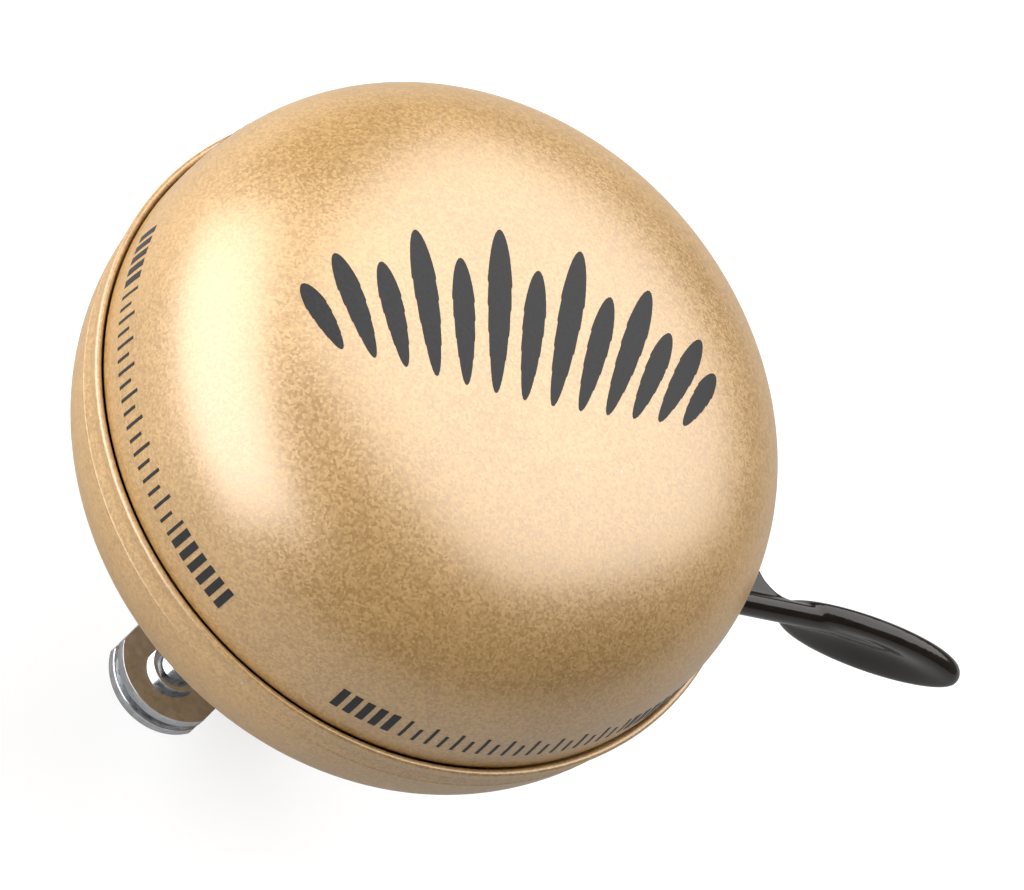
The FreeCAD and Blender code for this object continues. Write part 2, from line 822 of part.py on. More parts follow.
def make_rotor_pinion():
    """Small gear and hub of the rotor, free to turn on the post."""
    low = size("rotor_floor")
    facing = heading(AXIS_START, idler_centre()) + half_pitch("pinion_teeth")
    teeth = gear_solid("pinion_teeth", size("tooth_shift"), size("rotor_pinion_wall"), AXIS_START,
                       low, facing)
    hub_top = size("bar_floor") + size("bar_wall")
    hub = Part.makeCylinder(size("rotor_hub_radius"), hub_top - low, Vector(0, 0, low))
    bore = Part.makeCylinder(size("post_radius") + size("bore_clearance"), size("seam_height") * 2)
    return node(feature("rotor_pinion", teeth.fuse(hub).cut(bore).removeSplitter()))


def make_rotor_bar():
    """Flat bar that flings the strikers round, with round ends."""
    wall = size("bar_wall")
    half = size("bar_half_width")
    reach = size("striker_reach")
    bar = Part.makeBox(2 * reach, 2 * half, wall, Vector(-reach, -half, 0))
    holes = [Part.makeCylinder(size("rotor_hub_radius"), wall)]
    for side in (1, -1):
        end = Vector(side * reach, 0, 0)
        bar = bar.fuse(Part.makeCylinder(half, wall, end))
        holes.append(Part.makeCylinder(size("striker_pin_radius"), wall, end))
    bar = bar.cut(holes).removeSplitter()
    turn = Rotation(UP, size("rotor_angle"))
    return node(feature("rotor_bar", bar, Placement(Vector(0, 0, size("bar_floor")), turn)))


def make_striker_pins():
    """Two headed pins riveted in the rotor bar, each with a loose striker on it."""
    bar_top = "bar_floor + bar_wall"
    shoulder = bar_top + " + striker_wall + striker_play"
    corners = [
        ("0", "bar_floor - pin_foot_wall"),
        ("striker_pin_radius + pin_foot_ledge", "bar_floor - pin_foot_wall"),
        ("striker_pin_radius + pin_foot_ledge", "bar_floor"),
        ("striker_pin_radius", "bar_floor"),
        ("striker_pin_radius", shoulder),
        ("striker_pin_head", shoulder),
        ("striker_pin_head", shoulder + " + pin_cap_wall"),
        ("0", shoulder + " + pin_cap_wall"),
    ]
    pin = turned("striker_pin", corners)
    doc.recompute()
    turn = size("rotor_angle")
    spots = [Placement(spot(size("striker_reach"), turn + side), Rotation()) for side in (0, 180)]
    return node(copies("striker_pins", pin.Shape, spots))


def make_strikers():
    """Two loose steel rings, free to fly outwards on their pins."""
    low = "bar_floor + bar_wall + loose_fit"
    high = low + " + striker_wall"
    edge = "striker_radius - striker_chamfer"
    corners = [
        ("striker_hole", low),
        (edge, low),
        ("striker_radius", low + " + striker_chamfer"),
        ("striker_radius", high + " - striker_chamfer"),
        (edge, high),
        ("striker_hole", high),
    ]
    for name, side in (("striker_a", 0), ("striker_b", 180)):
        where = spot(size("striker_reach"), size("rotor_angle") + side)
        node(turned(name, corners, where.x, where.y))


def make_rotor_fasteners():
    """Thrust washer under the rotor and the clip that keeps it on the post."""
    low = "plate_floor + plate_wall + nut_wall"
    high = low + " + thrust_washer_wall"
    node(ring("rotor_washer", "post_radius", "post_radius + washer_ledge", low, high))
    low = "bar_floor + bar_wall + loose_fit"
    node(ring("rotor_clip", "post_radius", "post_radius + rotor_clip_ledge", low, low + " + clip_wall"))


# ---------------------------------------------------------------- thumb lever

def lever_sector():
    """Toothed sector of the lever, cut from a whole gear."""
    pivot = lever_pivot()
    facing = heading(pivot, idler_centre())
    wall = size("sector_wall")
    low = size("sector_floor")
    gear = gear_solid("sector_teeth", -size("tooth_shift"), wall, pivot, low, facing)
    radius = size("gear_module") * size("sector_teeth")
    wedge = Part.makeCylinder(radius, wall, AXIS_START, UP, size("sector_sweep_angle"))
    wedge.rotate(AXIS_START, UP, size("sector_start_angle"))
    wedge.translate(pivot + Vector(0, 0, low))
    return gear.common(wedge)


def along_arm(reach, aside, height=0.0):
    """A point on the lever, from its distance along and beside the arm's line."""
    turn = math.radians(size("arm_angle"))
    forward = Vector(math.cos(turn), math.sin(turn), 0)
    left = Vector(-math.sin(turn), math.cos(turn), 0)
    return lever_pivot() + forward * reach + left * aside + Vector(0, 0, height)


def lever_web():
    """Flat web beside the arm: wide inside the pan, swept in to the arm's own width outside it."""
    low = size("web_floor")
    wide = size("web_reach")
    end = size("web_end")
    sweep = size("web_sweep")
    slim = size("waist_half")
    root = along_arm(0, 0, low)
    root_corner = along_arm(0, size("web_root_reach"), low)
    shoulder = along_arm(end - size("web_round"), wide, low)
    eased = size("web_round") * size("web_round_share")
    shoulder_middle = along_arm(end - eased, wide - eased, low)
    sweep_start = along_arm(end, slim + sweep, low)
    diagonal = sweep * (1 - math.sqrt(0.5))
    sweep_middle = along_arm(end + diagonal, slim + diagonal, low)
    waist = along_arm(end + sweep, slim, low)
    arm_side = along_arm(end + sweep, 0, low)
    wire = Part.Wire([
        straight(root, root_corner),
        straight(root_corner, shoulder),
        Part.Arc(shoulder, shoulder_middle, sweep_start).toShape(),
        Part.Arc(sweep_start, sweep_middle, waist).toShape(),
        straight(waist, arm_side),
        straight(arm_side, root),
    ])
    return Part.Face(wire).extrude(Vector(0, 0, size("web_wall")))


def pad_frame():
    """Placement of the thumb pad: x along it, y up, z out of its thumb face."""
    turn = math.radians(size("pad_angle"))
    forward = Vector(math.cos(turn), math.sin(turn), 0)
    start = Vector(size("pad_start_x"), size("pad_start_y"), size("pad_middle"))
    centre = start + forward * size("pad_centre_reach")
    face = forward.cross(UP)
    return Placement(centre, Rotation(forward, UP, face, "XYZ"))


def thumb_pad():
    """Upright oval pad with a rounded rim and a dished thumb face."""
    wall = size("pad_wall")
    long_half = size("pad_half_length")
    tall_half = size("pad_half_height")
    oval = Part.Ellipse(AXIS_START, long_half, tall_half).toShape()
    plate = Part.Face(Part.Wire(oval)).extrude(Vector(0, 0, wall))
    plate.translate(Vector(0, 0, -wall / 2))
    rims = [edge for edge in plate.Edges if edge.Curve.TypeId == "Part::GeomEllipse"]
    plate = plate.makeFillet(size("pad_round"), rims)
    depth = size("dish_depth")
    stretch = FreeCAD.Matrix()
    stretch.scale(long_half * size("dish_length_share"), tall_half * size("dish_height_share"), depth)
    ball = Part.makeSphere(1).transformGeometry(stretch)
    ball.translate(Vector(0, 0, wall / 2))
    plate = plate.cut(ball)
    plate.Placement = pad_frame()
    return plate


def lever_arm():
    """Rounded rib from the hub to the pad."""
    height = size("arm_middle")
    frame = pad_frame()
    reach_in = size("pad_half_length") * size("arm_end_share")
    end = frame.multVec(Vector(-reach_in, 0, -size("close_fit")))
    end.z = height
    start = along_arm(size("arm_start"), 0, height)
    bend = along_arm(size("arm_bend_start"), 0, height)
    forward = (bend - start).normalize()
    run = straight(start, bend)
    pad_forward = frame.Rotation.multVec(Vector(1, 0, 0))
    curve = smooth_edge([bend, end], forward, pad_forward)
    path = Part.Wire([run, curve])
    oval = Part.Ellipse(AXIS_START, size("arm_height") / 2, size("arm_width") / 2).toShape()
    section = Part.Wire(oval)
    section.Placement = Placement(start, Rotation(UP, forward.cross(UP) * -1, forward, "XYZ"))
    return path.makePipeShell([section], True, False)


def make_thumb_lever():
    """The moulded lever: hub, toothed sector, web, arm and thumb pad in one piece."""
    pivot = lever_pivot()
    low = size("plate_floor") + size("plate_wall") + size("lever_washer_wall")
    hub = Part.makeCylinder(size("hub_radius"), size("hub_top") - low, pivot + Vector(0, 0, low))
    bore = Part.makeCylinder(size("lever_pin_radius") + size("bore_clearance"), size("seam_height"),
                             pivot)
    seat = Part.makeCylinder(size("spring_seat_radius"), size("seam_height"),
                             pivot + Vector(0, 0, size("hub_top")))
    whole = hub.fuse([lever_sector(), lever_web(), lever_arm(), thumb_pad()])
    return node(feature("thumb_lever", whole.cut(bore).cut(seat)))


def make_lever_fasteners():
    """The lever's pin, the washer under its hub and the clip above its spring."""
    pivot = lever_pivot()
    headed_pin("lever_pin", "lever_pin_radius", "lever_pin_top", pivot)
    low = "plate_floor + plate_wall"
    node(ring("lever_washer", "lever_pin_radius", "lever_pin_radius + washer_ledge", low,
              low + " + lever_washer_wall - washer_play", pivot.x, pivot.y))
    low = "lever_pin_top - lever_clip_drop"
    node(ring("lever_clip", "lever_pin_radius", "lever_pin_radius + clip_ledge", low,
              low + " + clip_wall", pivot.x, pivot.y))


# ---------------------------------------------------------------- return spring

def spring_start_angle():
    """Where round the pin the coil starts, so its free leg leans against the arm's far side."""
    return size("arm_angle") - size("spring_lean") + 90


def spring_anchor():
    """Where the spring's fixed leg goes down into the plate."""
    start = spring_start_angle()
    reach = size("spring_fixed_leg") + size("spring_bend")
    return lever_pivot() + spot(size("spring_radius"), start) + spot(reach, start + 90)


def spring_coil():
    """Half rings, each tilted so that it climbs half a pitch and meets the next one squarely."""
    rise = size("spring_pitch") / 2
    radius = size("spring_radius")
    tilt = math.degrees(math.atan2(rise, 2 * radius))
    pieces = []
    for number in range(int(size("spring_half_turns"))):
        piece = Part.makeTorus(math.hypot(radius, rise / 2), size("spring_wire"),
                               AXIS_START, UP, -180, 180, 180)
        piece.rotate(AXIS_START, Vector(0, 1, 0), tilt)
        piece.translate(Vector(0, 0, rise * (number + 0.5)))
        piece.rotate(AXIS_START, UP, spring_start_angle() + 180 * number)
        piece.translate(lever_pivot() + Vector(0, 0, size("spring_floor")))
        pieces.append(piece)
    return pieces


def make_lever_spring():
    """Torsion spring round the lever's pin: one leg against the arm, one down into the plate."""
    wire = size("spring_wire")
    bend = size("spring_bend")
    start = spring_start_angle()
    outward = spot(1, start + 90)
    low = lever_pivot() + spot(size("spring_radius"), start) + Vector(0, 0, size("spring_floor"))
    high = low + Vector(0, 0, size("spring_pitch") * size("spring_half_turns") / 2)
    corner = high + outward * size("spring_fixed_leg")
    elbow = Part.makeTorus(bend, wire, AXIS_START, UP, -180, 180, 90)
    elbow.Placement = Placement(corner - UP * bend, Rotation(UP, outward, UP.cross(outward), "XYZ"))
    anchor = spring_anchor() + Vector(0, 0, corner.z - bend)
    drop = anchor.z - size("plate_floor") - size("bore_clearance")
    pieces = spring_coil()
    pieces.append(Part.makeCylinder(wire, size("spring_fixed_leg"), high, outward))
    pieces.append(elbow)
    pieces.append(Part.makeCylinder(wire, drop, anchor, UP * -1))
    spring = Part.makeCylinder(wire, size("spring_free_leg"), low, outward * -1)
    for piece in pieces:
        spring = spring.fuse(piece)
    return node(feature("lever_spring", spring.removeSplitter()))


# ---------------------------------------------------------------- whole bell

def check_document():
    """Stop if any object failed or any sub-part is missing or broken."""
    for thing in doc.Objects:
        if "Invalid" in thing.State or "Error" in thing.State:
            raise RuntimeError("%s failed: %s" % (thing.Name, thing.State))
    for thing in nodes:
        if thing.Shape.isNull() or not thing.Shape.isValid() or not thing.Shape.Solids:
            raise RuntimeError("%s has no sound shape" % thing.Label)


def write_parts():
    """Write each sub-part under its own name."""
    os.makedirs("parts", exist_ok=True)
    for thing in nodes:
        thing.Shape.exportStep("parts/%s.step" % thing.Label)


def main():
    fill_sheet()
    make_upper_clamp()
    make_lower_clamp()
    make_clamp_screws()
    make_clamp_washers()
    make_bar_liner()
    make_dome()
    make_dome_boss()
    make_strike_lugs()
    make_pan()
    make_centre_post()
    make_spacers()
    make_mechanism_plate()
    make_plate_standoffs()
    make_nuts()
    make_idler_pinion()
    make_idler_gear()
    make_idler_fasteners()
    make_rotor_pinion()
    make_rotor_bar()
    make_striker_pins()
    make_strikers()
    make_rotor_fasteners()
    make_thumb_lever()
    make_lever_fasteners()
    make_lever_spring()
    doc.recompute()
    check_document()
    write_parts()


main()
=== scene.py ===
"""Looks of the bicycle bell, built round its packed frame.

Metres, in the bell's own frame: the handlebar runs along x, and the dome points up z.
"""
import json
import math

import bmesh
import bpy
from bpy.props import FloatProperty, FloatVectorProperty, IntProperty, PointerProperty
from mathutils import Matrix, Vector

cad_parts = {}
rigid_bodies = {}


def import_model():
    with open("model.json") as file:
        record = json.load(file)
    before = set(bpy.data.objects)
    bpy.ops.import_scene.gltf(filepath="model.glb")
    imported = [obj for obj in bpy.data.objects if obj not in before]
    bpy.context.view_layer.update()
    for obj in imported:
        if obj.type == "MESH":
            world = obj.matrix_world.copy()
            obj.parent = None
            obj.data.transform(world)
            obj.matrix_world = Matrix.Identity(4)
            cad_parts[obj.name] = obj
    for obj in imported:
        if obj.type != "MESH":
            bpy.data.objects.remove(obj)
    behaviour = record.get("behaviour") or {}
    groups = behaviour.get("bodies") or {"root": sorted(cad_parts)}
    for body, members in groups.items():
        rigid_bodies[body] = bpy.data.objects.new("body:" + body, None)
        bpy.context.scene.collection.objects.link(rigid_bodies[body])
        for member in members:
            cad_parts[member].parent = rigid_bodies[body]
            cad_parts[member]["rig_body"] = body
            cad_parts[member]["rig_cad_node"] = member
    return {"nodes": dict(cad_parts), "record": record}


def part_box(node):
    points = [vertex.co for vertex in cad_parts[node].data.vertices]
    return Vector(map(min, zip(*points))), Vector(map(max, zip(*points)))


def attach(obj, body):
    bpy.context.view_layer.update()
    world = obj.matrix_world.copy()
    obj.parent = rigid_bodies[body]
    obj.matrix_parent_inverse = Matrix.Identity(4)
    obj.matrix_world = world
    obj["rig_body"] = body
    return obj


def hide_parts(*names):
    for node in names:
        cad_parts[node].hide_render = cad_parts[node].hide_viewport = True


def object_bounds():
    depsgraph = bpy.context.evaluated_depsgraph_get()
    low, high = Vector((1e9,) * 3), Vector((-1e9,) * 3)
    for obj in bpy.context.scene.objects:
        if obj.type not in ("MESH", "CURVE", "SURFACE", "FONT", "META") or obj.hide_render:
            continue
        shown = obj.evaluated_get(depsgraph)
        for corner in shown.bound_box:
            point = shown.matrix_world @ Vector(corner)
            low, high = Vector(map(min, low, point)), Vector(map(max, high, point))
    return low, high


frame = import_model()
CAD_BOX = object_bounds()

bl_info = {
    "name": "Bicycle bell",
    "version": (1, 0, 0),
    "blender": (4, 5, 0),
    "location": "3D View > Sidebar > Bell",
    "description": "Builds the shells, lever, clamp, print and finishes of a bicycle bell",
    "category": "Object",
}

MM = 0.001
UP = Vector((0, 0, 1))
FULL_TURN = math.tau
TINY = 1e-7
DOME_LOW, DOME_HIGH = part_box("dome")
PAN_LOW, PAN_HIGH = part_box("pan")
SCREW_LOW, SCREW_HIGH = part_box("clamp_screws")


def length(name, millimetres, description):
    """A size that shows in the sidebar in the scene's units."""
    return FloatProperty(name=name, default=millimetres * MM, unit="LENGTH", precision=5,
                         description=description)


def colour(name, value, description):
    """A colour that shows in the sidebar as a swatch."""
    return FloatVectorProperty(name=name, default=value, subtype="COLOR", min=0, max=1,
                               description=description)


# ---------------------------------------------------------------- sizes and colours

class BellShellSizes(bpy.types.PropertyGroup):
    """Sizes of the dome and the pan."""
    seam: length("Seam height", 40.2, "Height of the seam between dome and pan")
    dome_radius: FloatProperty(name="Dome radius", default=DOME_HIGH.x, unit="LENGTH",
                               description="Outer radius of the dome at its rim")
    dome_wall: length("Dome wall", 1.0, "Thickness of the dome")
    dome_side: FloatProperty(name="Dome side power", default=2.57,
                             description="How square the dome's side is")
    dome_crown: FloatProperty(name="Dome crown power", default=2.76,
                              description="How flat the dome's crown is")
    pan_radius: length("Pan radius", 39.6, "Radius that the pan's side curve starts from")
    pan_depth: length("Pan curve depth", 25.0, "Depth at which the pan's side curve would close")
    pan_wall: length("Pan wall", 0.75, "Thickness of the pan")
    pan_side: FloatProperty(name="Pan side power", default=2.70,
                            description="How square the pan's side is")
    pan_floor: FloatProperty(name="Pan floor power", default=2.77,
                             description="How flat the pan's underside is")
    lip_radius: FloatProperty(name="Lip radius", default=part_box("dome")[1].x + MM, unit="LENGTH",
                              description="Outer radius of the pan's rolled lip")
    roll: length("Rolled edge", 0.42, "Radius of the bead rolled along the pan's edge")
    valley_radius: length("Valley radius", 39.1, "Radius of the groove under the lip")
    slot_low: length("Slot foot", 30.75, "Height of the lever slot's lower edge")
    slot_high: length("Slot head", 35.65, "Height of the lever slot's upper edge")
    slot_start: FloatProperty(name="Slot start", default=math.radians(23), subtype="ANGLE",
                              description="Where round the pan the lever slot starts")
    slot_end: FloatProperty(name="Slot end", default=math.radians(53), subtype="ANGLE",
                            description="Where round the pan the lever slot ends")
    steps: IntProperty(name="Steps round", default=180, description="Facets round a shell")


class BellLeverSizes(bpy.types.PropertyGroup):
    """Sizes of the thumb lever."""
    pivot_x: length("Pivot x", 25.02, "Lever pin, along the handlebar")
    pivot_y: length("Pivot y", 9.60, "Lever pin, across the handlebar")
    arm_angle: FloatProperty(name="Arm angle", default=math.radians(40.8), subtype="ANGLE",
                             description="Direction of the arm from its pin")
    arm_height: length("Arm middle height", 33.2, "Height of the arm's middle")
    arm_tall: length("Arm half height", 1.75, "Half the arm's height")
    arm_wide: length("Arm half width", 1.25, "Half the arm's width")
    split: length("Split reach", 9.0, "Where the smooth outer part takes over from the hub")
    web_floor: length("Web floor", 31.9, "Height of the web's underside")
    web_wall: length("Web wall", 2.2, "Thickness of the web")
    pad_long: length("Pad half length", 12.1, "Half the thumb pad's length")
    pad_tall: length("Pad half height", 4.7, "Half the thumb pad's height")
    pad_wall: length("Pad wall", 2.6, "Thickness of the thumb pad")
    pad_round: length("Pad rounding", 1.2, "Rounding of the pad's rim")
    pad_dish: length("Pad dish", 0.8, "Depth of the hollow in the thumb face")
    pad_angle: FloatProperty(name="Pad angle", default=math.radians(30.5), subtype="ANGLE",
                             description="Direction of the pad's length")
    grain: length("Moulding grain", 0.2, "Cell size used to melt the lever's parts together")


class BellFixingSizes(bpy.types.PropertyGroup):
    """Sizes of the clamp and its screws."""
    screw_reach: length("Screw reach", 20.0, "Distance of each screw from the bell's axis")
    thread_radius: length("Thread radius", 2.0, "Outer radius of the thread")
    thread_root: length("Thread root radius", 1.62, "Inner radius of the thread")
    thread_pitch: length("Thread pitch", 0.7, "Advance of the thread in one turn")
    head_radius: length("Head radius", 3.7, "Radius of the screw head")
    head_top: length("Head underside", -2.8, "Height of the face under the head")
    recess_long: length("Recess length", 4.2, "Length of each bar of the cross recess")
    recess_wide: length("Recess width", 0.9, "Width of each bar of the cross recess")
    recess_deep: length("Recess depth", 1.4, "Depth of the cross recess")
    edge: length("Edge rounding", 0.16, "Rounding of pressed and turned edges")


class BellPrintSizes(bpy.types.PropertyGroup):
    """Sizes of the printed pattern."""
    ink: length("Ink thickness", 0.03, "Height of the ink above the paint")
    bars: IntProperty(name="Wave bars", default=13, description="Bars in the large pattern")
    ticks: IntProperty(name="Rim ticks", default=30, description="Ticks in each arc near the rim")
    tick_low: length("Tick foot", 43.3, "Height of the foot of the rim ticks")
    tick_high: length("Tick head", 46.6, "Height of the head of the rim ticks")
    arc_start: FloatProperty(name="Arc start", default=math.radians(-160), subtype="ANGLE",
                             description="Where round the dome the first arc of ticks starts")
    arc_sweep: FloatProperty(name="Arc sweep", default=math.radians(66), subtype="ANGLE",
                             description="Angle covered by one arc of ticks")


class BellColours(bpy.types.PropertyGroup):
    """Colours of the finishes."""
    gold: colour("Gold", (0.56, 0.335, 0.118), "Gold paint where it is lightest")
    bronze: colour("Bronze", (0.37, 0.208, 0.062), "Gold paint where it is deepest")
    plastic: colour("Plastic", (0.018, 0.012, 0.008), "Black lever plastic")
    zinc: colour("Zinc", (0.78, 0.80, 0.83), "Bright zinc plate")
    steel: colour("Steel", (0.50, 0.50, 0.49), "Bare steel")
    brass: colour("Brass", (0.72, 0.50, 0.21), "Brass")
    nylon: colour("Nylon", (0.78, 0.76, 0.70), "Nylon gears")
    rubber: colour("Rubber", (0.022, 0.022, 0.022), "Rubber liner")
    ink: colour("Ink", (0.020, 0.019, 0.019), "Printing ink")
    floor: colour("Floor", (0.45, 0.45, 0.45), "Floor before its backlight")


GROUPS = {
    "bell_shells": BellShellSizes,
    "bell_lever": BellLeverSizes,
    "bell_fixing": BellFixingSizes,
    "bell_print": BellPrintSizes,
    "bell_colours": BellColours,
}


# ---------------------------------------------------------------- working in the viewport

def leave_all():
    """Object mode with nothing selected."""
    if bpy.context.object and bpy.context.object.mode != "OBJECT":
        bpy.ops.object.mode_set(mode="OBJECT")
    bpy.ops.object.select_all(action="DESELECT")


def pick(obj):
    """Object mode with only this piece selected and active."""
    leave_all()
    bpy.context.view_layer.objects.active = obj
    obj.select_set(True)
    return obj


def edit(obj, select="SELECT"):
    """Edit mode on one piece."""
    pick(obj)
    bpy.ops.object.mode_set(mode="EDIT")
    bpy.ops.mesh.select_mode(type="VERT")
    bpy.ops.mesh.select_all(action=select)


def finished(name, placing=None):
    """Back to object mode, with the piece named and its place put into its mesh."""
    bpy.ops.object.mode_set(mode="OBJECT")
    obj = pick(bpy.context.object)
    if placing is not None:
        obj.matrix_world = placing
    bpy.ops.object.transform_apply(location=True, rotation=True, scale=True)
    obj.name = name
    obj.data.name = name
    return obj


def choose_faces(obj, test):
    """In edit mode, select the faces whose centre and normal pass the test."""
    bpy.ops.mesh.select_mode(type="FACE")
    bpy.ops.mesh.select_all(action="DESELECT")
    mesh = bmesh.from_edit_mesh(obj.data)
    for face in mesh.faces:
        face.select_set(test(face.calc_center_median(), face.normal))
    bmesh.update_edit_mesh(obj.data)


def choose_edges(obj, test):
    """In edit mode, select the edges whose two ends pass the test."""
    bpy.ops.mesh.select_mode(type="EDGE")
    bpy.ops.mesh.select_all(action="DESELECT")
    mesh = bmesh.from_edit_mesh(obj.data)
    for edge in mesh.edges:
        edge.select_set(test(edge.verts[0].co, edge.verts[1].co))
    bmesh.update_edit_mesh(obj.data)


def choose_points(obj, test):
    """In edit mode, select the points that pass the test."""
    bpy.ops.mesh.select_mode(type="VERT")
    bpy.ops.mesh.select_all(action="DESELECT")
    mesh = bmesh.from_edit_mesh(obj.data)
    for point in mesh.verts:
        point.select_set(test(point.co))
    mesh.select_flush_mode()
    bmesh.update_edit_mesh(obj.data)


def mend():
    """In edit mode, close the seams and turn every face outwards."""
    bpy.ops.mesh.select_mode(type="VERT")
    bpy.ops.mesh.select_all(action="SELECT")
    bpy.ops.mesh.remove_doubles(threshold=TINY * 20)
    bpy.ops.mesh.normals_make_consistent(inside=False)


def apply_modifier(obj, kind, **values):
    """Add one modifier with its values and apply it."""
    pick(obj)
    added = obj.modifiers.new(kind.lower(), kind)
    for key, value in values.items():
        setattr(added, key, value)
    bpy.ops.object.modifier_apply(modifier=added.name)


def smooth(obj, degrees=35):
    """Smooth shading, left sharp at real corners."""
    pick(obj)
    bpy.ops.object.shade_smooth_by_angle(angle=math.radians(degrees))
    return obj


def traced(points):
    """One point extruded from place to place, left selected in edit mode."""
    leave_all()
    bpy.ops.mesh.primitive_plane_add(size=MM, location=points[0])
    bpy.ops.object.transform_apply(location=True, rotation=True, scale=True)
    bpy.ops.object.mode_set(mode="EDIT")
    bpy.ops.mesh.select_mode(type="VERT")
    bpy.ops.mesh.select_all(action="SELECT")
    bpy.ops.mesh.merge(type="CENTER")
    for here, there in zip(points, points[1:]):
        bpy.ops.mesh.extrude_region_move(TRANSFORM_OT_translate={"value": there - here})
    bpy.ops.mesh.select_all(action="SELECT")
    return bpy.context.object


def spun(points, steps, sweep=FULL_TURN, centre=(0, 0, 0)):
    """A traced outline spun about an upright axis, left in edit mode."""
    obj = traced(points)
    bpy.ops.mesh.spin(steps=steps, angle=sweep, center=centre, axis=(0, 0, 1))
    mend()
    return obj


def joined(pieces, name):
    """Several pieces made one."""
    leave_all()
    for piece in pieces:
        piece.select_set(True)
    bpy.context.view_layer.objects.active = pieces[0]
    bpy.ops.object.join()
    obj = pick(pieces[0])
    obj.name = name
    obj.data.name = name
    return obj


def duplicate(obj, name, placing):
    """A copy with its own mesh, put in its place."""
    pick(obj)
    bpy.ops.object.duplicate(linked=False)
    copy = bpy.context.object
    copy.matrix_world = placing
    bpy.ops.object.transform_apply(location=True, rotation=True, scale=True)
    copy.name = name
    copy.data.name = name
    return copy


def node_copy(node, name):
    """A merged copy of a CAD node that can be shaped further."""
    copy = duplicate(frame["nodes"][node], name, Matrix.Identity(4))
    copy.parent = None
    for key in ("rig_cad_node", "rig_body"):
        if key in copy:
            del copy[key]
    copy.data.materials.clear()
    edit(copy)
    bpy.ops.mesh.remove_doubles(threshold=TINY * 20)
    bpy.ops.mesh.dissolve_limited(angle_limit=math.radians(1))
    bpy.ops.object.mode_set(mode="OBJECT")
    return copy


def settle(obj, body, nodes=()):
    """Attach a finished piece to its body and hide the CAD nodes it stands for."""
    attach(obj, body)
    if nodes:
        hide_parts(*nodes)


def coat(obj, material):
    """Give a piece one finish."""
    obj.data.materials.clear()
    obj.data.materials.append(material)


# ---------------------------------------------------------------- finishes

def socket(node, name):
    """A shader socket by name."""
    return node.inputs[name]


def node_of(tree, kind, **values):
    """A shader node with its properties and plain inputs set."""
    made = tree.nodes.new(kind)
    for key, value in values.items():
        if hasattr(made, key):
            setattr(made, key, value)
        else:
            made.inputs[key.replace("_", " ")].default_value = value
    return made


def mapped(tree, source, low, high, new_low, new_high):
    """A value moved from one range to another and kept inside it."""
    made = tree.nodes.new("ShaderNodeMapRange")
    made.clamp = True
    for key, value in (("From Min", low), ("From Max", high), ("To Min", new_low),
                       ("To Max", new_high)):
        made.inputs[key].default_value = value
    tree.links.new(source, made.inputs["Value"])
    return made.outputs["Result"]


def blended(tree, amount, first, second):
    """A colour mixed between two colours or sockets by a value."""
    made = tree.nodes.new("ShaderNodeMix")
    made.data_type = "RGBA"
    tree.links.new(amount, made.inputs["Factor"])
    for key, value in (("A", first), ("B", second)):
        target = [s for s in made.inputs if s.name == key and s.type == "RGBA"][0]
        if isinstance(value, bpy.types.NodeSocket):
            tree.links.new(value, target)
        else:
            target.default_value = (*value, 1)
    return [s for s in made.outputs if s.type == "RGBA"][0]


def combined(tree, operation, first, second):
    """Two values put through one sum."""
    made = tree.nodes.new("ShaderNodeMath")
    made.operation = operation
    for index, value in enumerate((first, second)):
        if isinstance(value, bpy.types.NodeSocket):
            tree.links.new(value, made.inputs[index])
        else:
            made.inputs[index].default_value = value
    return made.outputs[0]


def new_group(name, inputs, outputs):
    """An empty shader group with named values in and out."""
    tree = bpy.data.node_groups.new(name, "ShaderNodeTree")
    tree.interface.new_socket("Vector", in_out="INPUT", socket_type="NodeSocketVector")
    for key, value in inputs.items():
        made = tree.interface.new_socket(key, in_out="INPUT", socket_type="NodeSocketFloat")
        made.default_value = value
    for key in outputs:
        tree.interface.new_socket(key, in_out="OUTPUT", socket_type="NodeSocketFloat")
    entry = tree.nodes.new("NodeGroupInput")
    leave = tree.nodes.new("NodeGroupOutput")
    return tree, entry, leave


def flake_group():
    """Fine metal flakes in a binder: a tone for each flake and a little height."""
    tree, entry, leave = new_group("paint flake", {"Scale": 3600.0}, ("Tone", "Height"))
    cells = node_of(tree, "ShaderNodeTexVoronoi")
    tree.links.new(entry.outputs["Vector"], cells.inputs["Vector"])
    tree.links.new(entry.outputs["Scale"], cells.inputs["Scale"])
    grey = tree.nodes.new("ShaderNodeSeparateColor")
    tree.links.new(cells.outputs["Color"], grey.inputs["Color"])
    fine = node_of(tree, "ShaderNodeTexNoise", Detail=3.0, Roughness=0.6)
    tree.links.new(entry.outputs["Vector"], fine.inputs["Vector"])
    tree.links.new(entry.outputs["Scale"], fine.inputs["Scale"])
    both = combined(tree, "ADD", combined(tree, "MULTIPLY", grey.outputs["Red"], 0.55),
                    combined(tree, "MULTIPLY", fine.outputs["Fac"], 0.45))
    tree.links.new(both, leave.inputs["Tone"])
    tree.links.new(both, leave.inputs["Height"])
    return tree


def dust_group():
    """A few specks of dust, each in its own cell."""
    tree, entry, leave = new_group("dust", {"Scale": 260.0, "Size": 0.05}, ("Speck",))
    cells = node_of(tree, "ShaderNodeTexVoronoi")
    tree.links.new(entry.outputs["Vector"], cells.inputs["Vector"])
    tree.links.new(entry.outputs["Scale"], cells.inputs["Scale"])
    grey = tree.nodes.new("ShaderNodeSeparateColor")
    tree.links.new(cells.outputs["Color"], grey.inputs["Color"])
    reach = combined(tree, "MULTIPLY", grey.outputs["Green"], entry.outputs["Size"])
    near = combined(tree, "LESS_THAN", cells.outputs["Distance"], reach)
    few = combined(tree, "GREATER_THAN", grey.outputs["Blue"], 0.55)
    tree.links.new(combined(tree, "MULTIPLY", near, few), leave.inputs["Speck"])
    return tree


